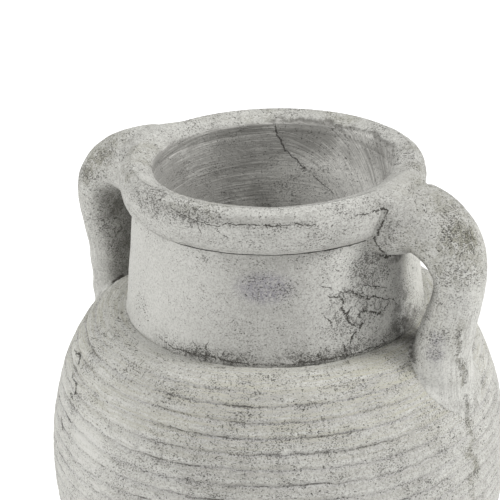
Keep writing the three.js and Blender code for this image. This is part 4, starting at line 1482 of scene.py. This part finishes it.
def handle_marks(points, zones, seed, form):
    """Marks of a handle: stained on its bend and seam, with painted shade inside, bare and bruised near its
    foot.
    """
    share, inner, height = zones["share"], zones["inner"], points[..., 2]
    outer = 1.0 - inner
    bare = ball(points, (158, -22, 345), 32, 0.6)
    bruise = np.maximum(ball(points, (159, -28, 383), 11, 0.6), ball(points, (158, -28, 372), 11, 0.6))
    blotch = np.maximum.reduce([ball(points, *place) for place in form["blotches"]])
    mottled = smooth(-0.15, 0.45, cloud(points, 30 * MM, seed + 11, 3))
    bend = zones["root"] * smooth(0.1, 0.22, share) * outer * mottled
    seam = zones["seam"] * smooth(-0.5, 0.3, cloud(points, 9 * MM, seed + 14, 3))
    plain = 1.0 - seam
    shaded = inner * smooth(0.08, 0.2, share) * smooth(0.95, 0.7, share)
    lower = outer * smooth(0.38, 0.50, share) * smooth(1.0, 0.9, share)
    flank = smooth(-12 * MM, -18 * MM, points[..., 1]) * smooth(436 * MM, 445 * MM, height) * form["cracked"]
    # Painted shade in the crease where the bar meets the pot.
    crease = smooth(3.2 * MM, 1.0 * MM, zones["away"]) * smooth(480 * MM, 474 * MM, height)
    crease = crease * smooth(-0.9, 0.0, cloud(points, 16 * MM, seed + 12, 2))
    crease = crease * (1.0 - 0.85 * smooth(0.70, 0.80, share)) * (1.0 - 0.9 * flank)
    stain = form["stain"] * smooth(0.30, 0.16, share) - 0.16 * smooth(0.28, 0.40, share)
    worn = 0.4 * (1.0 - shaded) * smooth(-0.2, 0.5, cloud(points, 60 * MM, seed + 13, 2))
    gritty = 0.12 * mottled + 0.7 * shaded + 1.2 * blotch - bare + 1.4 * bruise - 0.24 * lower
    # Painted shade on the inner face, low inside the bar and in the crease, and the dark of the stained seam.
    smudge_and_shade = (crease + 0.25 * seam + form["smudge_and_shade"] * shaded * (0.4 + 0.6 * mottled)
            + 0.3 * smooth(0.60, 0.80, share) * inner)
    root_crack = [(math.degrees(x * MM / CRACK_RADIUS), z, wide) for x, z, wide in ROOT_CRACK]
    cracked = crack_marks(points, points[..., 0] / CRACK_RADIUS, [root_crack])
    return {
        "moss": np.clip(0.35 * bend + 0.75 * blotch + 0.8 * seam, 0.0, 1.0),
        "gritty": np.clip(gritty, -0.28, 1.4) + 1.5 * seam,
        "bruise": bruise,
        "smudge_and_shade": np.clip(smudge_and_shade, 0.0, 1.0),
        "tone_and_painted_light": outer * stain - 0.08 * bare,
        "coat": (0.5 * bare + 0.25 * zones["facing"] + worn) * plain,
        "warm": 0.25 * mottled,
        "streak": 0.40 + 0.85 * zones["facing"],
        "crack_side": cracked["crack_side"],
        "crack_near": cracked["crack_near"] * flank,
        "along": share * 0.28,
        "across": zones["across"],
    }


def build_handles():
    """Both handles: thick ovals run into the rim's top and pressed on to the shoulder."""
    pot, handle, relief, _, _ = settings()
    skin = PotSkin(pot, relief.skin_inset)
    for side, turn, seed in (("right", 0.0, 101), ("left", math.pi + handle.left_skew, 131)):
        form = HANDLES[side]
        points, zones = handle_grid(pot, handle, relief, skin, turn, seed, form)
        marks = handle_marks(points, zones, seed, form)
        node = "handle_" + side
        mesh = grid_mesh(node + "_bar", points, wrap_rows=False, marks=marks, flip=True)
        place_piece(node + "_bar", mesh, finishes()[0], [node])


def turned_piece(node, profile, spacing, columns, material, slot, seed):
    """A small turned part: an even profile with soft unevenness, held inside its solid."""
    _, _, relief, _, _ = settings()
    points, normal, turn = turned(even_steps(profile, spacing), columns)
    unevenness, holes = common_relief(points, relief, seed)
    depth = np.minimum(unevenness, 0.4 * MM) - 0.6 * MM - relief.pit * holes * 0.7
    points = points + normal * depth[..., None]
    marks = {"hollow": holes, "gritty": 0.4 * smooth(0, 0.6, cloud(points, 40 * MM, seed + 3, 2)),
             "along": turn * 100 * MM, "across": np.hypot(points[..., 0], points[..., 1])}
    if slot == "bare_clay":
        marks["inside"] = np.ones(holes.shape)
    mesh = grid_mesh(node + "_shell", points, marks=marks)
    place_piece(node + "_shell", mesh, material, [node])


def build_base():
    """Foot ring and floor slab: a plain ring to stand on and a floor with its drain hole."""
    pot = settings()[0]
    weathered, bare, _ = finishes()
    inner = pot.foot_radius - pot.foot_width
    top = pot.foot_height - pot.slip_bed / 2
    bevel = 3 * MM
    ring = [(inner + bevel, 0), (pot.foot_radius - bevel, 0), (pot.foot_radius, bevel),
            (pot.foot_radius, top), (inner, top), (inner, bevel)]
    turned_piece("foot_ring", ring, FOOT_STEP, FOOT_COLUMNS, weathered, "weathered_clay", 151)
    slab_radius = float(BodyOutline(pot).radius_at(pot.slab_top))
    register = slab_radius - pot.body_wall / 2 + pot.joint_gap / 2
    under = pot.foot_height + pot.slip_bed / 2
    bed = pot.slab_top - pot.slip_bed / 2
    drain_top = pot.slab_top - pot.lap_depth
    hole, chamfer = pot.drain_radius, 2 * MM
    slab = [(hole, under + chamfer), (hole + chamfer, under), (pot.slab_edge_radius, under),
            (slab_radius, bed), (register, bed), (register, drain_top), (hole + chamfer, drain_top),
            (hole, drain_top - chamfer)]
    turned_piece("floor_slab", slab, SLAB_STEP, SLAB_COLUMNS, bare, "bare_clay", 161)


def build_slip():
    """Dry slip: crumbled rings in the joints, which stand back from the face, and pads at the handles."""
    pot, _, relief, _, _ = settings()
    slip = finishes()[2]
    joints = body_joints(pot, relief, BodyOutline(pot))
    half = pot.slip_bed / 2 - pot.joint_gap
    rings = {
        "neck_slip": (pot.neck_foot_height, pot.neck_foot_radius, pot.bore_radius, 2.6 * MM),
        "rim_slip": (pot.neck_top_height, pot.neck_top_radius, pot.bore_radius, 2.6 * MM),
        "belly_slip": (*joints["belly"], 1.2 * MM),
        "floor_slip": (*joints["slab"], 1.4 * MM),
    }
    for seed, (node, (height, outer, inner, recess)) in enumerate(rings.items()):
        register = (outer + inner) / 2 + pot.joint_gap / 2
        bead_ring(node, register, outer - recess, height, half, slip, 171 + seed)
    inner = pot.foot_radius - pot.foot_width + 1.4 * MM
    bead_ring("foot_slip", inner, pot.foot_radius - 1.4 * MM, pot.foot_height, half, slip, 181)
    skin = PotSkin(pot, relief.skin_inset)
    for side in ("right", "left"):
        for end in ("root", "foot"):
            sunken_pad(f"handle_{side}_{end}_slip", skin, slip)


def sunken_pad(node, skin, material):
    """A slip pad: the solid's own mesh, moved in under the skin where it would show beside the handle."""
    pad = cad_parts[node]
    mesh = pad.data.copy()
    mesh.transform(pad.matrix_world)
    points = np.empty(len(mesh.vertices) * 3, dtype=np.float32)
    mesh.vertices.foreach_get("co", points)
    points = points.reshape(-1, 3).astype(np.float64)
    points = skin.push(points, -np.maximum(skin.at(points) + 1.6 * MM, 0.0))
    mesh.vertices.foreach_set("co", points.astype(np.float32).ravel())
    mesh.materials.clear()
    mesh.update()
    place_piece(node + "_pad", mesh, material, [node])


def bead_ring(node, inner, outer, height, half, material, seed):
    """A flat ring of slip whose outer edge is crumbled by noise."""
    corners = [(inner, height - half), (outer, height - half), (outer, height + half), (inner, height + half)]
    rows = even_steps(corners, BEAD_STEP)
    points, normal, _ = turned(rows, BEAD_COLUMNS)
    edge = smooth(outer - 3 * MM, outer, np.repeat(rows[:, :1], BEAD_COLUMNS, axis=1))
    crumb = lattice_noise(points, 2.4 * MM, seed) * 0.55 * MM - 0.1 * MM
    points = points + normal * (np.minimum(crumb, 0.3 * MM) * edge)[..., None] * (1, 1, 0.25)
    place_piece(node + "_bead", grid_mesh(node + "_bead", points), material, [node])


# Studio

def build_studio():
    """A pale floor, a large soft light from the upper left, an even sky and the camera."""
    scene = bpy.context.scene
    studio = scene.pot_studio
    reach, lamp_distance = 14.0, 3.0
    floor = bpy.data.meshes.new("floor")
    corners = [(-reach, -reach, 0), (reach, -reach, 0), (reach, reach, 0), (-reach, reach, 0)]
    floor.from_pydata(corners, [], [(0, 1, 2, 3)])
    floor.update()
    floor = bpy.data.objects.new("floor", floor)
    floor.location.z = LOW[2]
    scene.collection.objects.link(floor)
    material, _, shader = new_material("pale_floor")
    shader.inputs["Base Color"].default_value = solid(studio.floor_colour)
    floor.data.materials.append(material)

    turn = studio.camera_turn
    pitch = studio.camera_pitch
    ahead = Vector((-math.sin(turn) * math.cos(pitch), math.cos(turn) * math.cos(pitch), -math.sin(pitch)))
    right = Vector((math.cos(turn), math.sin(turn), 0.0))
    up = right.cross(ahead)
    aim = right * studio.aim_side + Vector((0.0, 0.0, studio.aim_height))

    def sun(name, strength, left, rise, spread):
        """A sun lamp that shines from the left of the camera and from above."""
        data = bpy.data.lights.new(name, "SUN")
        data.energy = strength
        data.angle = spread
        side = turn - math.pi / 2 - left
        toward = Vector((math.cos(side) * math.cos(rise), math.sin(side) * math.cos(rise), math.sin(rise)))
        lamp = bpy.data.objects.new(name, data)
        lamp.location = toward * lamp_distance
        lamp.rotation_euler = toward.to_track_quat("Z", "Y").to_euler()
        scene.collection.objects.link(lamp)

    sun("sun", studio.sun_strength, studio.sun_side, studio.sun_rise, studio.sun_spread)
    sun("fill", studio.fill_strength, -studio.fill_side, studio.fill_rise, studio.fill_spread)

    world = bpy.data.worlds.new("even_sky")
    world.use_nodes = True
    sky = world.node_tree.nodes["Background"]
    sky.inputs["Color"].default_value = (1.0, 1.0, 1.0, 1.0)
    sky.inputs["Strength"].default_value = studio.sky_strength
    scene.world = world
    scene.view_settings.view_transform = "Standard"

    data = bpy.data.cameras.new("camera")
    data.lens = studio.lens
    data.sensor_width = 36.0
    data.clip_end = 100.0
    camera = bpy.data.objects.new("camera", data)
    roll = studio.camera_roll
    across = right * math.cos(roll) - up * math.sin(roll)
    upward = up * math.cos(roll) + right * math.sin(roll)
    turned_axes = Matrix((across, upward, -ahead)).transposed().to_4x4()
    camera.matrix_world = Matrix.Translation(aim - ahead * studio.camera_distance) @ turned_axes
    scene.collection.objects.link(camera)
    scene.camera = camera


class Dressing:
    """What the operators share: each runs its own build function, which raises if it fails."""

    bl_options = {"REGISTER", "UNDO"}

    def execute(self, context):
        type(self).build()
        return {"FINISHED"}


class POT_OT_base(Dressing, bpy.types.Operator):
    """Build the foot ring and the floor slab"""

    bl_idname = "pot.base"
    bl_label = "Base"
    build = staticmethod(build_base)


class POT_OT_body(Dressing, bpy.types.Operator):
    """Build the lower and the upper body"""

    bl_idname = "pot.body"
    bl_label = "Body"
    build = staticmethod(build_body)


class POT_OT_neck(Dressing, bpy.types.Operator):
    """Build the neck"""

    bl_idname = "pot.neck"
    bl_label = "Neck"
    build = staticmethod(build_neck)


class POT_OT_rim(Dressing, bpy.types.Operator):
    """Build the rim"""

    bl_idname = "pot.rim"
    bl_label = "Rim"
    build = staticmethod(build_rim)


class POT_OT_handles(Dressing, bpy.types.Operator):
    """Build both handles"""

    bl_idname = "pot.handles"
    bl_label = "Handles"
    build = staticmethod(build_handles)


class POT_OT_slip(Dressing, bpy.types.Operator):
    """Build the slip in the joints"""

    bl_idname = "pot.slip"
    bl_label = "Slip"
    build = staticmethod(build_slip)


class POT_OT_studio(Dressing, bpy.types.Operator):
    """Build the floor, the lights and the camera"""

    bl_idname = "pot.studio"
    bl_label = "Studio"
    build = staticmethod(build_studio)


OPERATORS = (POT_OT_base, POT_OT_body, POT_OT_neck, POT_OT_rim, POT_OT_handles, POT_OT_slip, POT_OT_studio)


class POT_PT_panel(bpy.types.Panel):
    """Buttons for the pieces, and their sizes"""

    bl_idname = "POT_PT_panel"
    bl_label = "Amphora planter"
    bl_space_type = "VIEW_3D"
    bl_region_type = "UI"
    bl_category = "Planter"

    def draw(self, context):
        for operator in OPERATORS:
            self.layout.operator(operator.bl_idname)
        for name, group in GROUPS.items():
            box = self.layout.box()
            box.label(text=group.bl_rna.name)
            for key in group.__annotations__:
                box.prop(getattr(context.scene, name), key)


CLASSES = (*GROUPS.values(), *OPERATORS, POT_PT_panel)


def register():
    """Register the classes and the scene's property groups."""
    for cls in CLASSES:
        bpy.utils.register_class(cls)
    for name, group in GROUPS.items():
        setattr(bpy.types.Scene, name, PointerProperty(type=group))


def unregister():
    """Take the property groups and the classes away again."""
    for name in GROUPS:
        delattr(bpy.types.Scene, name)
    for cls in reversed(CLASSES):
        bpy.utils.unregister_class(cls)


def main():
    """Build the pot and the studio."""
    register()
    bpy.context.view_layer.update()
    bpy.ops.pot.base()
    bpy.ops.pot.body()
    bpy.ops.pot.neck()
    bpy.ops.pot.rim()
    bpy.ops.pot.handles()
    bpy.ops.pot.slip()
    bpy.ops.pot.studio()


if __name__ == "__main__":
    main()
